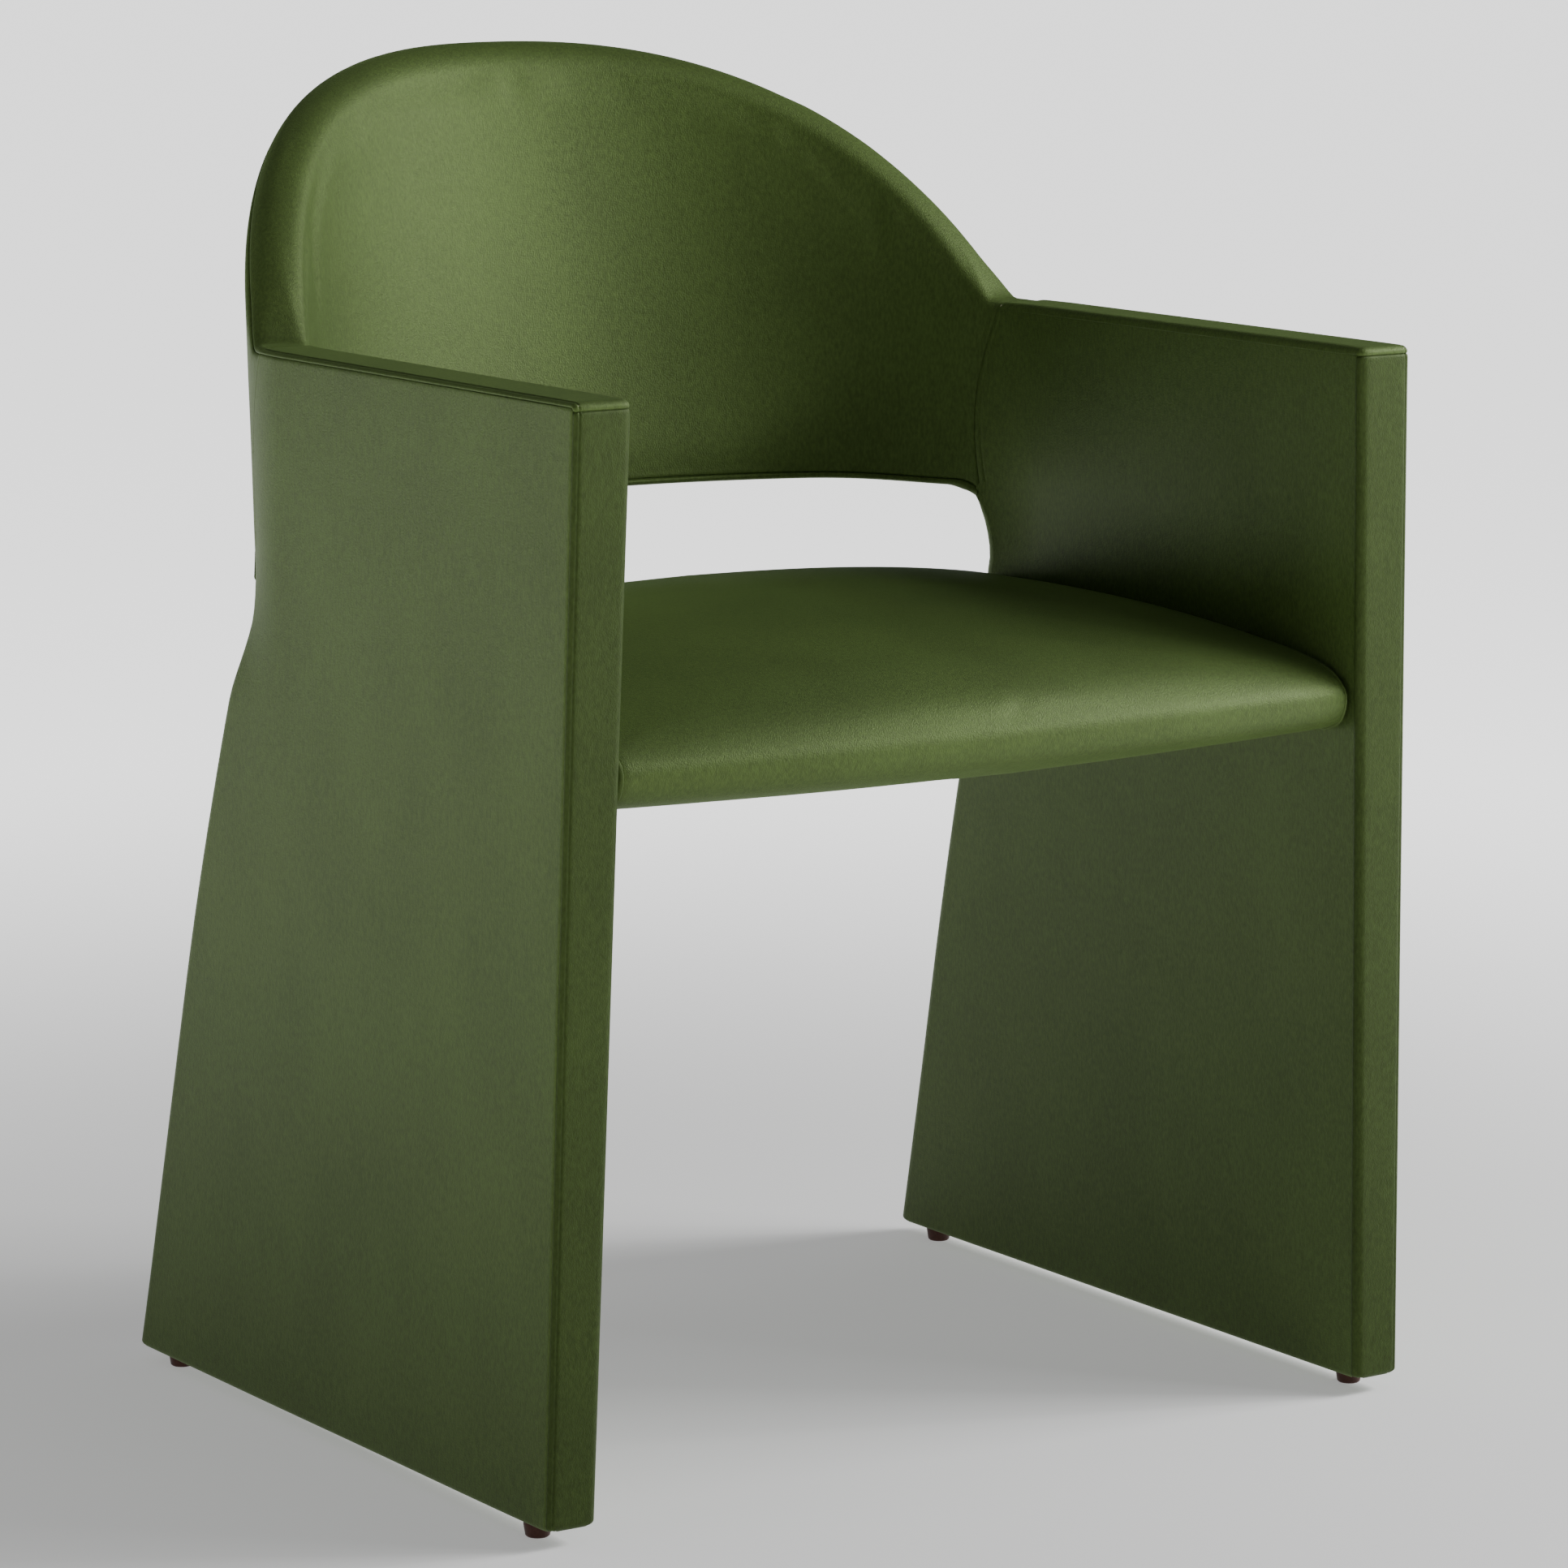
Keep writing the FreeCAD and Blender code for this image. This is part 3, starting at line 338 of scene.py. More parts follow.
def foot_inset(z):
    rise = np.clip((FOOT + FOOT_ROLL - z) / FOOT_ROLL, 0.0, 1.0)
    return FOOT_ROLL * (1 - np.sqrt(1 - rise * rise))


def rear_corner(z, outer, radius):
    """Plan curve round half of a slab's rear edge, from one face to the middle of the edge."""
    bulge = WRAP_BULGE * float(smooth((z - BULGE_START) / BULGE_RUN))
    rear = float(rear_y(z)) - foot_inset(z) + bulge
    start_y = rear - radius
    form = outer_x if outer else inner_x
    x = float(form(start_y, z))
    slope = (x - float(form(start_y - 0.001, z))) / 0.001
    way = np.array((slope, 1.0, 0.0))
    handle = 0.55 * radius
    way *= handle / np.linalg.norm(way)
    sign = -1 if outer else 1
    start = np.array((x, start_y, z))
    turned = np.array((x + sign * radius, rear, z))
    corner = bezier(start, way, turned, np.array((sign * handle, 0.0, 0.0)), 12)
    split = (float(outer_x(start_y, z)) + float(inner_x(start_y, z))) / 2 - WRAP_SPLIT
    places = turned[0] + (split - turned[0]) * spread(turned[0], split, 0.002, False, True)[1:]
    flat = np.stack((places, np.full_like(places, rear), np.full_like(places, z)), axis=-1)
    return resample(np.concatenate((corner, flat)), WRAP_POINTS)


def slab_face(side, outer):
    """Cloth on the outer or inner face of a slab; below the back it turns round the rear edge."""
    exit_level = OUTER_EXIT if outer else INNER_EXIT
    lip = STRIP_LIP if outer else SOFT_ROLL
    levels, exit_row = slab_levels(ARM_TOP - lip, exit_level)
    shares = spread(0.0, 0.4, LEVEL_STEP)
    last = len(shares) - 1
    grid = np.array([face_row(z, shares, outer, lip, exit_level) for z in levels])
    keep = np.ones((len(levels) - 1, grid.shape[1] - 1), bool)
    keep[exit_row:, last:] = False
    lift = face_lift(grid, exit_row, last, outer, exit_level) - foot_inset(levels)[:, None]
    name = "outer" if outer else "inner"
    outward = -SIDES[side] if outer else SIDES[side]
    return shell(f"{side}_{name}_panel", mirror_grid(grid, side), lift, outward, keep)


def face_row(z, shares, outer, lip, exit_level):
    """One level of a face panel, from its front edge to the middle of the slab's rear edge."""
    form = outer_x if outer else inner_x
    start = float(front_y(z)) + lip + foot_inset(z) + corner_inset(z, CORNER_ROLL - lip)
    radius = rear_radius(z, outer, exit_level)
    end = float(rear_y(z)) - foot_inset(z) - radius
    end += (float(seam_y(z)) - end) * float(smooth((z - exit_level + 0.005) / 0.005))
    y = start + (end - start) * shares
    face = np.stack((form(y, z), y, np.full_like(y, z)), axis=-1)
    return np.concatenate((face, slab_wrap(z, end, outer, radius, exit_level)[1:]))


def face_lift(grid, exit_row, last, outer, exit_level):
    """Tucks at a face panel's seams, its swell between them and its ripple."""
    seam_marks = edge_mask(grid.shape[:2])
    seam_marks[exit_row:, last] = True
    seam_marks[exit_row, last:] = True
    seam_marks[:exit_row + 1, -1] = True
    back_seam = distance_to(grid, seam_marks)
    corner_marks = edge_mask(grid.shape[:2], rows=(-1,), columns=(0,))
    corner_marks[-1, last + 1:] = False
    corner = distance_to(grid, corner_marks)
    felled = smooth((grid[..., 2] - 0.515) / 0.010)
    near_exit = np.exp(-((grid[..., 2] - exit_level) / CALM_REACH) ** 2)
    near_exit *= smooth((grid[..., 1] - CALM_FROM) / CALM_RUN)
    lift = puff(np.minimum(back_seam, corner), PLUMP, PLUMP_REACH) * (1 - near_exit)
    lift += tuck(back_seam, SEAM_DEPTH, WIDE_SEAM) * (1 - 0.75 * near_exit)
    lift += stitch_line(back_seam, FELL_PLACE, FELL_DEPTH) * felled
    lift += ripple(grid, 0.00025, 0.045, 1 if outer else 2)
    if outer:
        lift += tuck(corner, SEAM_DEPTH, EDGE_SEAM)
    return lift


def corner_inset(z, radius):
    """How far a face's front edge gives way to the rounded front corner of the arm's top."""
    rise = min(max(z - (ARM_TOP - CORNER_ROLL), 0.0), radius)
    return radius - math.sqrt(radius * radius - rise * rise)


def rear_radius(z, outer, exit_level):
    """Radius of a slab's rear corners: full down the leg, nearly square where the back begins."""
    share = min(max((z - exit_level + CORNER_EARLY) / CORNER_FADE + 1, 0.0), 1.0)
    tight = TIGHT_OUTER if outer else TIGHT_INNER
    return tight + (REAR_ROUND - tight) * math.sqrt(1 - share * share)


def slab_wrap(z, end, outer, radius, exit_level):
    """The rear-edge part of one row of a face panel, starting where its face part ends."""
    level = min(z, exit_level)
    curve = rear_corner(level, outer, radius)
    curve[:, 2] = z
    start = np.array((float((outer_x if outer else inner_x)(end, z)), end, z))
    weight = np.linspace(1, 0, len(curve))[:, None]
    return curve + (start - curve[0]) * weight


def strip_profile(width):
    """Section of a boxing strip: distance from its outer edge, and drop below its middle."""
    turn = np.linspace(0, math.pi / 2, 30)
    outer = np.stack((STRIP_ROLL * (1 - np.cos(turn)), STRIP_LIP * (1 - np.sin(turn))), axis=-1)
    flat = np.linspace(STRIP_ROLL, width - SOFT_ROLL, 8)[1:-1]
    middle = np.stack((flat, np.zeros_like(flat)), axis=-1)
    turn = np.linspace(0, math.pi / 2, 12)
    inner = np.stack((width - SOFT_ROLL * (1 - np.sin(turn)), SOFT_ROLL * (1 - np.cos(turn))), axis=-1)
    return np.concatenate((outer, middle, inner))


def front_band(side):
    """Boxing strip down the front of a slab."""
    top = ARM_TOP - CORNER_ROLL
    turn = np.linspace(0, math.pi / 2, 8)
    foot = FOOT + FOOT_ROLL * (1 - np.cos(turn))
    low = FOOT + FOOT_ROLL
    levels = np.concatenate((foot[:-1], low + (top - low) * spread(low, top, LEVEL_STEP, False, True)))
    rows = []
    for z in levels:
        width = float(outer_x(0.0, z) - inner_x(0.0, z))
        profile = strip_profile(width)
        narrowing = 1 - 2 * foot_inset(z) / width
        outer = float(outer_x(0.0, z)) - foot_inset(z)
        rows.append(np.stack((outer - profile[:, 0] * narrowing, front_y(z) + profile[:, 1],
                              np.full(len(profile), z)), axis=-1))
    grid = np.array(rows)
    seam = distance_to(grid, edge_mask(grid.shape[:2], columns=(0,)))
    crease = distance_to(grid, edge_mask(grid.shape[:2], rows=(-1,)))
    lift = strip_lift(grid, seam, crease) - foot_inset(levels)[:, None]
    return shell(f"{side}_front_boxing", mirror_grid(grid, side), lift, SIDES[side])


def strip_lift(grid, seam, crease):
    """Tucks at a boxing strip's seams, with fine puckers where it is folded and sewn across."""
    lift = tuck(seam, SEAM_DEPTH, STRIP_SEAM) + stitch_line(seam, 0.0042, 0.00045, 0.0005)
    lift += tuck(crease, SEAM_DEPTH, EDGE_SEAM)
    pucker = np.exp(-crease / 0.010) * np.sin(grid[..., 0] / 0.0011) * 0.00018
    return lift + puff(np.minimum(seam, crease), 0.0005, 0.006) + pucker


def arm_band(side):
    """Boxing strip along an arm's top, turned down over the front edge."""
    turn = np.linspace(0, math.pi / 2, 12)
    low = ARM_TOP - CORNER_ROLL
    start = float(front_y(low))
    bend = [(start + CORNER_ROLL * (1 - math.cos(t)), low + CORNER_ROLL * math.sin(t),
             -math.cos(t), math.sin(t)) for t in turn]
    run = spread(bend[-1][0], 0.352, LEVEL_STEP, False, True)
    rows = []
    for index in range(len(bend) + len(run) - 1):
        rows.append(arm_row(bend, run, index))
    grid = np.array(rows)
    seam = distance_to(grid, edge_mask(grid.shape[:2], columns=(0,)))
    crease = distance_to(grid, edge_mask(grid.shape[:2], rows=(0, -1)))
    lift = strip_lift(grid, seam, crease)
    return shell(f"{side}_arm_boxing", mirror_grid(grid, side), lift, SIDES[side])


def arm_row(bend, run, index):
    """One cross row of the arm strip: round its front corner, or along its flat top."""
    on_bend = index < len(bend)
    y, z, ny, nz = bend[index] if on_bend else (None, ARM_TOP, 0.0, 1.0)
    share = 0.0 if on_bend else run[index - len(bend) + 1]
    width = float(outer_x(0.1, ARM_TOP) - inner_x(0.1, ARM_TOP))
    profile = strip_profile(width)
    drop = profile[:, 1]
    first = bend[-1][0]
    along = y - ny * drop if on_bend else first + (seam_y(ARM_TOP - drop) - first) * share
    level = z - nz * drop
    outer = outer_x(along, level)
    across = (outer - inner_x(along, level)) / width
    return np.stack((outer - profile[:, 0] * across, along, level), axis=-1)


def foot_strip(side):
    """Cloth under a slab, between the turned edges of its covers."""
    inset = FOOT_ROLL - 0.0003
    first, last = float(front_y(FOOT)) + inset, float(rear_y(FOOT)) - inset
    runs = first + (last - first) * spread(first, last, LEVEL_STEP)
    half = (OUTER_FOOT - INNER_FOOT) / 2
    shares = spread(0.0, 2 * half - 2 * inset, 0.004)
    rows = []
    for y in runs:
        gap = max(0.0, y - (last - half + inset))
        reach = half - inset
        round_end = math.sqrt(max(1 - (gap / reach) ** 4, 0.05)) if gap > 0 else 1.0
        x = middle_half(FOOT) + (2 * shares - 1) * reach * round_end
        rows.append(np.stack((x, np.full_like(x, y), np.full_like(x, FOOT + 0.0003)), axis=-1))
    grid = np.array(rows)
    edge = distance_to(grid, edge_mask(grid.shape[:2], rows=(0, -1), columns=(0, -1)))
    lift = tuck(edge, 0.0006, 0.002) + ripple(grid, 0.0001, 0.02, 5)
    return shell(f"{side}_foot_cover", mirror_grid(grid, side), lift, SIDES[side])


# ------------------------------------------------------------------ back

RIM_SEAM = math.radians(148)
BAND_LIP = 0.005


def superellipse(turn, power):
    """Unit curve from (-1, 0) over (0, 1) to (1, 0); a higher power gives squarer shoulders."""
    across = -np.sign(np.cos(turn)) * np.abs(np.cos(turn)) ** (2 / power)
    up = np.abs(np.sin(turn)) ** (2 / power)
    return across, up


def rim_power(angle):
    return 2.0 + 3.0 * smooth((np.abs(angle) - math.radians(70)) / math.radians(9))


def rim_place(angle, turn):
    """Offset and height of the rim at a plan angle, turning from the inner to the outer face."""
    across, up = superellipse(turn, rim_power(angle))
    return HALF_BACK * across, rim_height(angle) - HALF_BACK * (1 - up)


def inner_section(share, angle):
    """Inner cover's section: up the inner face, then over the rim. share runs from 0 to 2."""
    face = np.clip(share, 0.0, 1.0)
    low = gap_height(angle) + BAND_LIP
    high = rim_height(angle) - HALF_BACK
    turn = np.clip(share - 1, 0.0, 1.0) * RIM_SEAM
    offset, over = rim_place(angle, turn)
    return np.where(share <= 1, -HALF_BACK, offset), np.where(share <= 1, low + (high - low) * face, over)


def outer_section(share, angle):
    """Outer cover's section: up the outer face to the seam behind the rim."""
    face = np.clip(share, 0.0, 1.0)
    low = gap_height(angle) + BAND_LIP
    high = rim_height(angle) - HALF_BACK
    turn = math.pi - np.clip(share - 1, 0.0, 1.0) * (math.pi - RIM_SEAM)
    offset, over = rim_place(angle, turn)
    return np.where(share <= 1, HALF_BACK, offset), np.where(share <= 1, low + (high - low) * face, over)


def band_section(share, angle):
    """Bottom band's section, from the inner lip round under the back to the outer lip."""
    across, up = superellipse(share * math.pi, 4.5)
    return HALF_BACK * across, gap_height(angle) + BAND_LIP * (1 - up)


def end_angle(section, share):
    """Plan angle at which one line of the back meets the seam with a slab."""
    angle = np.full_like(share, math.radians(76))
    for _ in range(60):
        offset, z = section(share, angle)
        place = back_point(angle, offset, z)
        depth = CURVE_DEPTH + (z - GAP_TOP) * LEAN
        swing = place[..., 1] - CURVE_START - depth * np.cos(angle)
        cosine = np.clip((seam_y(z) - CURVE_START - swing) / depth, -1.0, 1.0)
        angle = angle + 0.35 * (np.arccos(cosine) - angle)
    return angle


def back_grid(section, shares, columns):
    ends = end_angle(section, shares)
    angle = ends[:, None] * columns[None, :]
    offset, z = section(np.broadcast_to(shares[:, None], angle.shape), angle)
    return back_point(angle, offset, z)


def back_columns():
    """Shares of the plan angle, close together where the back meets the slabs."""
    half = spread(0.0, 0.300, 0.0055, False, True)
    turned = np.sin(half * math.pi / 2) * 0.35 + half * 0.65
    return np.concatenate((-turned[::-1], turned[1:]))


def face_shares(length, rim):
    face = spread(0.0, length, 0.007, True, False)
    over = 1 + spread(0.0, rim, 0.0022, False, True)
    return np.concatenate((face, over[1:]))


def seams_on_back(grid, rows):
    ends = distance_to(grid, edge_mask(grid.shape[:2], columns=(0, -1)))
    sewn = distance_to(grid, edge_mask(grid.shape[:2], rows=rows))
    return ends, sewn


def panel_lift(grid, seed):
    """Tucks at the seams of one of the back's panels, its swell between them and its ripple."""
    ends, sewn = seams_on_back(grid, (0, -1))
    lift = puff(np.minimum(ends, sewn), PLUMP, PLUMP_REACH)
    lift += tuck(ends, SEAM_DEPTH, WIDE_SEAM) + stitch_line(ends, FELL_PLACE, FELL_DEPTH)
    return lift + tuck(sewn, SEAM_DEPTH, EDGE_SEAM) + ripple(grid, 0.00025, 0.05, seed)


def back_inner(columns):
    grid = back_grid(inner_section, face_shares(0.230, 0.044), columns)
    grid = inflate(grid, -1, BACK_SWELL, BACK_SLACK)
    return shell("back_inner_panel", grid, panel_lift(grid, 7), -1)


def back_outer(columns):
    grid = back_grid(outer_section, face_shares(0.230, 0.008), columns)
    return shell("back_outer_panel", grid, panel_lift(grid, 9), 1)


def back_band(columns):
    """Narrow strip under the back; it fills out where it runs down into the slabs' rear edges."""
    grid = back_grid(band_section, np.linspace(0.0, 1.0, 61), columns)
    ends, sewn = seams_on_back(grid, (0, -1))
    lift = tuck(sewn, SEAM_DEPTH, BAND_SEAM)
    lift += BAND_FULLNESS * smooth((BAND_FULL_END - ends) / BAND_FULL_RUN) * smooth(sewn / 0.004)
    return shell("back_under_band", grid, lift, 1)


# ------------------------------------------------------------------ seat

SEAT_SIDE = np.array(((0.0, 0.0), (0.03, 0.36), (0.11, 0.61), (0.22, 0.76), (0.36, 0.90),
                      (0.56, 1.0), (0.80, 1.0), (0.95, 0.86)))
HEM_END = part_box("seat_dust_cover")[0][1] - FRONT + HEM_LAP
SEAT_LIFT = np.array((0.0, 0.12, 0.42, 0.68, 0.88, 1.0, 0.84, 0.58))


def spline_through(points, count):
    """Smooth curve through points: centripetal spans of a Catmull-Rom spline."""
    points = np.asarray(points, float)
    first = 2 * points[0] - points[1]
    last = 2 * points[-1] - points[-2]
    p = np.concatenate(([first], points, [last]))
    gaps = np.sqrt(np.linalg.norm(np.diff(p, axis=0), axis=1))
    knots = np.concatenate(([0.0], np.cumsum(gaps)))
    out = []
    for k in range(1, len(p) - 2):
        t = np.linspace(knots[k], knots[k + 1], count, endpoint=False)[:, None]
        t0, t1, t2, t3 = knots[k - 1:k + 3]
        a1 = (t1 - t) / (t1 - t0) * p[k - 1] + (t - t0) / (t1 - t0) * p[k]
        a2 = (t2 - t) / (t2 - t1) * p[k] + (t - t1) / (t2 - t1) * p[k + 1]
        a3 = (t3 - t) / (t3 - t2) * p[k + 1] + (t - t2) / (t3 - t2) * p[k + 2]
        b1 = (t2 - t) / (t2 - t0) * a1 + (t - t0) / (t2 - t0) * a2
        b2 = (t3 - t) / (t3 - t1) * a2 + (t - t1) / (t3 - t1) * a3
        out.append((t2 - t) / (t2 - t1) * b1 + (t - t1) / (t2 - t1) * b2)
    return np.concatenate(out + [points[-1:]])


def resample(line, count):
    gaps = np.linalg.norm(np.diff(line, axis=0), axis=1)
    run = np.concatenate(([0.0], np.cumsum(gaps)))
    even = np.linspace(0, run[-1], count)
    return np.stack([np.interp(even, run, line[:, k]) for k in range(line.shape[1])], axis=-1)


def seat_line(station, count):
    """The seat's section at a station, in depth and height, from its front hem over to its rear hem."""
    crown = 1 - abs(station) ** 2.5
    front = SEAT_FRONT + SEAT_BOW * station * station
    rise = SEAT_SIDE_TOP - NOSE
    y = front + (SEAT_REAR - front) * SEAT_SIDE[:, 0]
    z = NOSE + rise * SEAT_SIDE[:, 1] + SEAT_CROWN * crown * SEAT_LIFT
    turn = front + SEAT_HEM
    nose = [(HEM_END, SEAT_UNDER), ((turn + HEM_END) / 2, SEAT_UNDER), (turn, SEAT_UNDER),
            (front + 0.2 * SEAT_HEM, SEAT_UNDER + 0.32 * (NOSE - SEAT_UNDER))]
    rear = [(SEAT_REAR, NOSE + 0.008), (SEAT_REAR - 0.002, NOSE - 0.008),
            (SEAT_REAR - 0.008, SEAT_UNDER), (SEAT_REAR - 0.030, SEAT_UNDER)]
    points = nose + list(zip(y, z)) + rear
    return resample(spline_through(points, 16), count)


def seat_grid():
    """Sections of the seat from side to side, close together at its sewn ends."""
    ends = 1 - np.array((0.0, 0.3, 0.7, 1.2, 1.9, 2.8, 4.0, 5.5, 7.5, 10, 13, 17)) / 260
    inner = np.linspace(0, ends[-1], 34)[:-1]
    stations = np.concatenate((inner, ends[::-1]))
    stations = np.concatenate((-stations[::-1], stations[1:]))
    rows = []
    for station in stations:
        line = seat_line(station, 120)
        x = station * (half_width(INNER_ARM, INNER_FOOT, line[:, 1]) - SEAT_GAP)
        rows.append(np.stack((x, line[:, 0], line[:, 1]), axis=-1))
    return np.array(rows)


def seat():
    """Seat cushion: sewn in at both ends, swollen by its own filling, hemmed underneath."""
    grid = inflate(seat_grid(), 1, SEAT_SWELL, SEAT_SLACK)
    keep_clear(grid)
    ends = distance_to(grid, edge_mask(grid.shape[:2], rows=(0, -1)))
    rear = smooth((grid[..., 1] - 0.345) / 0.025) * (1 - smooth((grid[..., 2] - 0.436) / 0.015))
    lift = tuck(ends, END_TUCK, END_ROLL) * (1 - 0.9 * rear)
    return shell("seat_cushion", grid, lift, 1, thickness=SEAT_COVER)


def keep_clear(grid):
    """Hold the seat off the slabs, which toe in behind it."""
    y, z = grid[..., 1], grid[..., 2]
    room = inner_x(y, z) - SLAB_CLEARANCE
    grid[..., 0] = np.clip(grid[..., 0], -room, room)


def dust_cloth():
    """Thin black cloth stretched under the seat: hemmed all round and hanging a little in the middle."""
    low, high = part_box("seat_dust_cover")
    across = low[0] + (high[0] - low[0]) * spread(low[0], high[0], 0.010)
    along = low[1] + (high[1] - low[1]) * spread(low[1], high[1], 0.010)
    x, y = np.meshgrid(across, along, indexing="ij")
    grid = np.stack((x, y - FRONT, np.full_like(x, low[2])), axis=-1)
    edge = distance_to(grid, edge_mask(grid.shape[:2], rows=(0, -1), columns=(0, -1)))
    hem = 0.0004 * smooth((0.0085 - edge) / 0.001)
    sag = 0.0022 * smooth((edge - 0.012) / 0.110)
    pull = 0.00035 * np.sin(x / 0.0085) * np.sin(y / 0.0095) * np.exp(-edge / 0.020)
    piece = shell("under_cloth", grid, hem + sag + pull, -1, thickness=0.0008)
    return piece, (high[0] - low[0], high[1] - low[1])


# ------------------------------------------------------------------ cloth simulation

def inflate(grid, outward, cap, slack):
    """Let pressure swell the cloth between its pinned edges: outward only, and never past cap."""
    rows, columns = grid.shape[:2]
    number = np.arange(rows * columns).reshape(rows, columns)
    quads = np.stack((number[:-1, :-1], number[1:, :-1], number[1:, 1:], number[:-1, 1:]), axis=-1)
    quads = quads.reshape(-1, 4)
    if outward < 0:
        quads = quads[:, ::-1]
    mesh = bpy.data.meshes.new("swelling")
    mesh.from_pydata(grid.reshape(-1, 3).tolist(), [], quads.tolist())
    piece = bpy.data.objects.new("swelling", mesh)
    bpy.context.scene.collection.objects.link(piece)
    pins = piece.vertex_groups.new(name="pins")
    border = edge_mask((rows, columns), rows=(0, -1), columns=(0, -1))
    pins.add(number[border].tolist(), 1.0, "REPLACE")
    cloth = piece.modifiers.new("cloth", "CLOTH")
    settings = cloth.settings
    settings.vertex_group_mass = "pins"
    settings.quality = 5
    settings.mass = 0.3
    settings.tension_stiffness = 25
    settings.compression_stiffness = 25
    settings.shear_stiffness = 10
    settings.bending_stiffness = 2.0
    settings.use_pressure = True
    settings.uniform_pressure_force = 4.0
    settings.effector_weights.gravity = 0.0
    settings.shrink_min = -slack
    cloth.point_cache.frame_start = 1
    cloth.point_cache.frame_end = SWELL_FRAMES
    for step in range(1, SWELL_FRAMES + 1):
        bpy.context.scene.frame_set(step)
    shape = piece.evaluated_get(bpy.context.evaluated_depsgraph_get()).to_mesh()
    moved = np.zeros(rows * columns * 3)
    shape.vertices.foreach_get("co", moved)
    moved = moved.reshape(rows, columns, 3)
    bpy.context.scene.frame_set(1)
    bpy.data.objects.remove(piece)
    normal = normals_of(grid, outward)
    rise = np.sum((moved - grid) * normal, axis=-1)
    rise = cap * np.tanh((rise + np.hypot(rise, cap / 4) - cap / 4) / (2 * cap))
    calm = 1 - np.exp(-(distance_to(grid, border) / SWELL_CALM) ** 2)
    return grid + normal * (rise * calm)[..., None]


# ------------------------------------------------------------------ materials

def new_material(name, roughness, specular=0.5):
    material = bpy.data.materials.new(name)
    material.use_nodes = True
    nodes = material.node_tree.nodes
    shader = nodes["Principled BSDF"]
    shader.inputs["Roughness"].default_value = roughness
    shader.inputs["Specular IOR Level"].default_value = specular
    return material, nodes, material.node_tree.links, shader


def place_noise(nodes, links, scale, detail, stretch):
    """Noise fixed to the piece, stretched along its own axes."""
    where = nodes.new("ShaderNodeTexCoord")
    mapping = nodes.new("ShaderNodeMapping")
    mapping.inputs["Scale"].default_value = stretch
    noise = nodes.new("ShaderNodeTexNoise")
    noise.inputs["Scale"].default_value = scale
    noise.inputs["Detail"].default_value = detail
    links.new(where.outputs["Object"], mapping.inputs["Vector"])
    links.new(mapping.outputs["Vector"], noise.inputs["Vector"])
    return noise


def ramp_between(nodes, links, source, low, high, start=0.3, end=0.7):
    ramp = nodes.new("ShaderNodeValToRGB")
    ramp.color_ramp.elements[0].position = start
    ramp.color_ramp.elements[0].color = (*low, 1)
    ramp.color_ramp.elements[1].position = end
    ramp.color_ramp.elements[1].color = (*high, 1)
    links.new(source, ramp.inputs["Fac"])
    return ramp


def add_bump(nodes, links, shader, height, strength, distance):
    bump = nodes.new("ShaderNodeBump")
    bump.inputs["Strength"].default_value = strength
    bump.inputs["Distance"].default_value = distance
    links.new(height, bump.inputs["Height"])
    links.new(bump.outputs["Normal"], shader.inputs["Normal"])


def velvet(name, depth=1.0):
    """Short dense pile: dark where it is looked into, with a broad soft shine along the nap."""
    # A depth below 1 gives a darker copy of the velvet, with its colour, shine and sheen all lowered
    # together: painted shade.
    material, nodes, links, shader = new_material(name, 0.57, 0.74 * depth)
    shader.inputs["Specular Tint"].default_value = (0.74, 1.0, 0.38, 1)
    shader.inputs["Sheen Weight"].default_value = 0.14 * depth
    shader.inputs["Sheen Roughness"].default_value = 0.35
    shader.inputs["Sheen Tint"].default_value = (0.60, 0.90, 0.30, 1)
    nap = place_noise(nodes, links, 620, 5, (1, 1, 0.42))
    drift = place_noise(nodes, links, 14, 3, (1, 1, 0.6))
    mix = nodes.new("ShaderNodeMix")
    mix.inputs["Factor"].default_value = 0.30
    links.new(nap.outputs["Fac"], mix.inputs["A"])
    links.new(drift.outputs["Fac"], mix.inputs["B"])
    low = tuple(depth * share for share in (0.031, 0.051, 0.0105))
    high = tuple(depth * share for share in (0.060, 0.099, 0.0215))
    ramp = ramp_between(nodes, links, mix.outputs["Result"], low, high, 0.36, 0.64)
    links.new(ramp.outputs["Color"], shader.inputs["Base Color"])
    pile = place_noise(nodes, links, 1500, 2, (1, 1, 0.6))
    add_bump(nodes, links, shader, pile.outputs["Fac"], 0.55, 0.0006)
    return material


def grained(name, low, high, scale, stretch, roughness, bump):
    material, nodes, links, shader = new_material(name, roughness, 0.3)
    grain = place_noise(nodes, links, scale, 6, stretch)
    ramp = ramp_between(nodes, links, grain.outputs["Fac"], low, high)
    links.new(ramp.outputs["Color"], shader.inputs["Base Color"])
    add_bump(nodes, links, shader, grain.outputs["Fac"], bump, 0.0005)
    return material


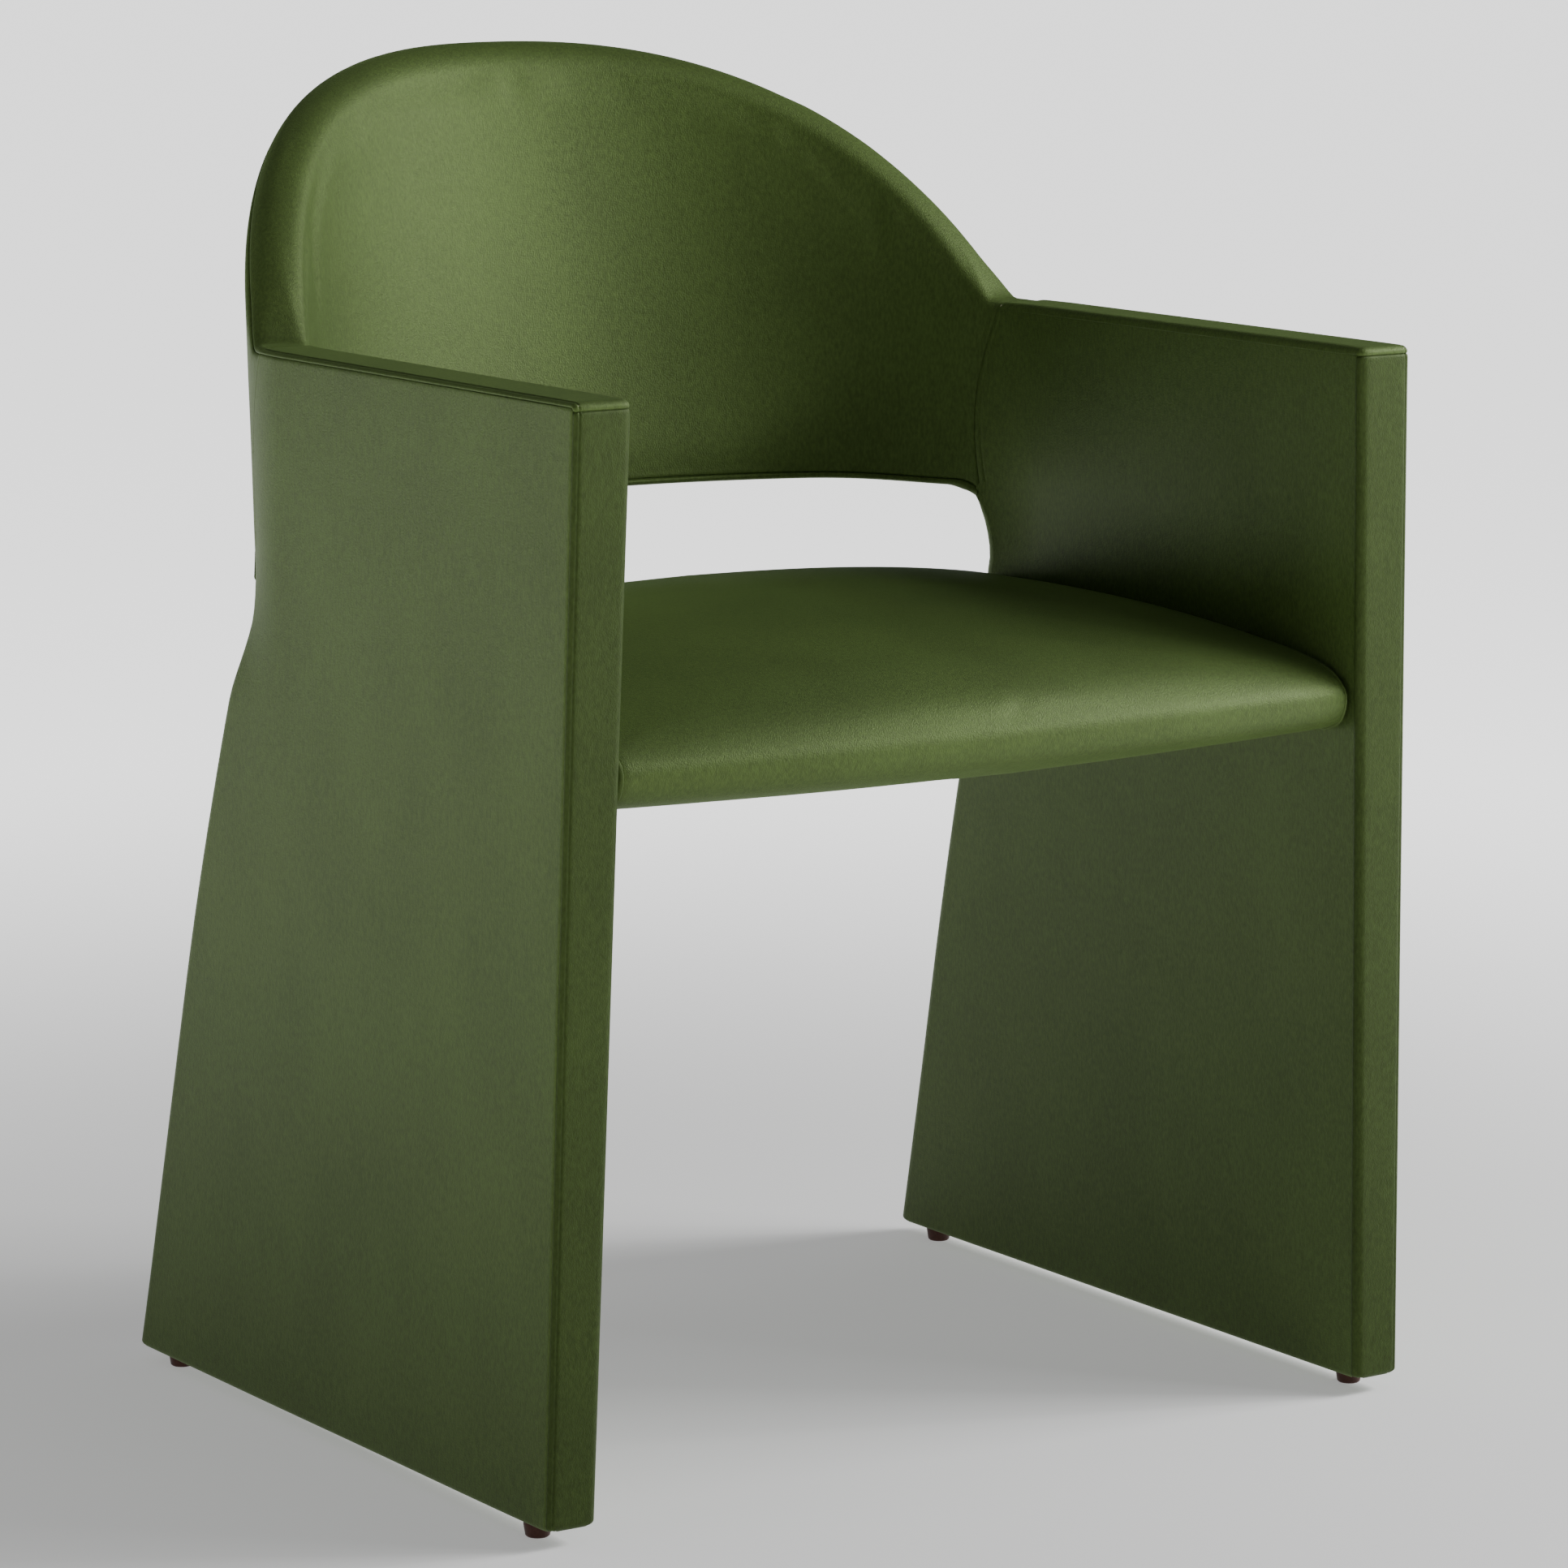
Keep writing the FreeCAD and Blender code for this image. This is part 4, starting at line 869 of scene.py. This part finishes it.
def make_materials():
    made = {
        "velvet": velvet("velvet"),
        "foam": grained("foam", (0.70, 0.64, 0.46), (0.86, 0.81, 0.66), 900, (1, 1, 1), 0.95, 0.5),
        "hardwood": grained("hardwood", (0.42, 0.26, 0.13), (0.66, 0.47, 0.28), 60, (1, 1, 0.08),
                            0.55, 0.2),
        "plywood": grained("plywood", (0.55, 0.39, 0.22), (0.74, 0.58, 0.38), 45, (1, 0.15, 1),
                           0.6, 0.15),
        "webbing": grained("webbing", (0.05, 0.04, 0.035), (0.14, 0.12, 0.10), 700, (1, 0.3, 1),
                           0.9, 0.6),
        "dust_cloth": grained("dust_cloth", (0.010, 0.010, 0.010), (0.030, 0.030, 0.030), 1200,
                              (1, 1, 1), 0.95, 0.4),
        "glide_plastic": grained("glide_plastic", (0.060, 0.018, 0.012), (0.085, 0.028, 0.018),
                                 500, (1, 1, 1), 0.42, 0.06),
        "zinc_steel": grained("zinc_steel", (0.55, 0.56, 0.57), (0.70, 0.71, 0.72), 300,
                              (1, 1, 0.2), 0.34, 0.05),
    }
    steel = made["zinc_steel"].node_tree.nodes["Principled BSDF"]
    steel.inputs["Metallic"].default_value = 1.0
    # The front boxing strips get a darker copy of the velvet, at 0.62 of its colour, shine and sheen:
    # painted shade on the strips that face the front.
    made["velvet_shaded_strip"] = velvet("velvet_shaded_strip", 0.62)
    return made


def dress_cad_nodes(made):
    """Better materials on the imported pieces, found by the slot that each one already has."""
    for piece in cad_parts.values():
        for holder in piece.material_slots:
            slot_name = holder.material.name.split(".")[0] if holder.material else ""
            holder.material = made.get(slot_name, made["velvet"])


# ------------------------------------------------------------------ room, lights and camera

def area_light(name, place, aim, power, size):
    data = bpy.data.lights.new(name, "AREA")
    data.shape = "RECTANGLE"
    data.energy = power
    data.size = size
    data.size_y = size
    lamp = bpy.data.objects.new(name, data)
    lamp.location = place
    lamp.rotation_mode = "QUATERNION"
    lamp.rotation_quaternion = (Vector(aim) - Vector(place)).to_track_quat("-Z", "Y")
    bpy.context.scene.collection.objects.link(lamp)
    return lamp


# Azimuth from the front towards +X and height above the horizon in degrees, power in watts, and
# the side of the square lamp in metres.
LIGHTS = {
    "window_front": (44, 30, 14, 0.7),
    "window_high": (58, 33, 44, 0.7),
    "window_mid": (71, 24, 40, 0.7),
    "side_left_low": (-90, 4, 6, 1.3),
    "rear_left": (-125, 40, 3, 1.3),
    "above": (40, 82, 5, 1.0),
}
LIGHT_DISTANCE = 3.0
LIGHT_AIM = Vector((0.0, 0.0, 0.45))

# The floor's glow: distance from the chair's middle in metres, and strength there.
GLOW_NEAR = (0.5, 0.34)
GLOW_FAR = (2.4, 1.70)
WORLD_GLOW = 0.06


def set_lights():
    for name, (azimuth, height, power, size) in LIGHTS.items():
        turn, rise = math.radians(azimuth), math.radians(height)
        way = Vector((math.sin(turn) * math.cos(rise), -math.cos(turn) * math.cos(rise),
                      math.sin(rise)))
        area_light(name, LIGHT_AIM + way * LIGHT_DISTANCE, LIGHT_AIM, power, size)


def set_room():
    """A pale floor that reaches the horizon and glows more further out, with a faint white world."""
    reach = 60.0
    corners = [(-reach, -reach, 0), (reach, -reach, 0), (reach, reach, 0), (-reach, reach, 0)]
    mesh = bpy.data.meshes.new("floor")
    mesh.from_pydata(corners, [], [(0, 1, 2, 3)])
    floor = bpy.data.objects.new("floor", mesh)
    bpy.context.scene.collection.objects.link(floor)
    material, nodes, links, shader = new_material("floor", 0.9, 0.1)
    shader.inputs["Base Color"].default_value = (0.80, 0.80, 0.80, 1)
    where = nodes.new("ShaderNodeTexCoord")
    far = nodes.new("ShaderNodeVectorMath")
    far.operation = "LENGTH"
    ramp = nodes.new("ShaderNodeMapRange")
    ramp.interpolation_type = "SMOOTHSTEP"
    ramp.inputs["From Min"].default_value = GLOW_NEAR[0]
    ramp.inputs["From Max"].default_value = GLOW_FAR[0]
    ramp.inputs["To Min"].default_value = GLOW_NEAR[1]
    ramp.inputs["To Max"].default_value = GLOW_FAR[1]
    links.new(where.outputs["Object"], far.inputs[0])
    links.new(far.outputs["Value"], ramp.inputs["Value"])
    links.new(ramp.outputs["Result"], shader.inputs["Emission Strength"])
    shader.inputs["Emission Color"].default_value = (1, 1, 1, 1)
    mesh.materials.append(material)
    world = bpy.data.worlds.new("studio")
    world.use_nodes = True
    world.node_tree.nodes["Background"].inputs["Color"].default_value = (1, 1, 1, 1)
    world.node_tree.nodes["Background"].inputs["Strength"].default_value = WORLD_GLOW
    bpy.context.scene.world = world


def set_camera():
    data = bpy.data.cameras.new("camera")
    data.lens = 137.6
    data.sensor_width = 36.0
    data.clip_end = 100
    camera = bpy.data.objects.new("camera", data)
    camera.location = (-1.9547, -2.99005, 0.9774)
    camera.rotation_euler = (math.radians(80.21), 0.0, math.radians(-33.68))
    bpy.context.scene.collection.objects.link(camera)
    bpy.context.scene.camera = camera


# ------------------------------------------------------------------ the chair

set_camera()
materials = make_materials()
dress_cad_nodes(materials)

for side in SIDES:
    finish_piece(slab_face(side, True), materials["velvet"],
                 [f"{side}_outer_cover"])
    finish_piece(slab_face(side, False), materials["velvet"],
                 [f"{side}_inner_cover"])
    # The front strips take the darker velvet copy, which is painted shade.
    finish_piece(front_band(side), materials["velvet_shaded_strip"],
                 [f"{side}_front_band"])
    finish_piece(arm_band(side), materials["velvet"],
                 [f"{side}_arm_band"])
    finish_piece(foot_strip(side), materials["velvet"],
                 [f"{side}_foot_strip"])

plan = back_columns()
finish_piece(back_inner(plan), materials["velvet"], ["back_inner_cover"])
finish_piece(back_outer(plan), materials["velvet"], ["back_outer_cover"])
finish_piece(back_band(plan), materials["velvet"], ["back_bottom_band"])
finish_piece(seat(), materials["velvet"], ["seat_cover"])

cloth, cut = dust_cloth()
cloth.data.materials.append(materials["dust_cloth"])
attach(cloth, "root")
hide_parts("seat_dust_cover")

set_room()
set_lights()
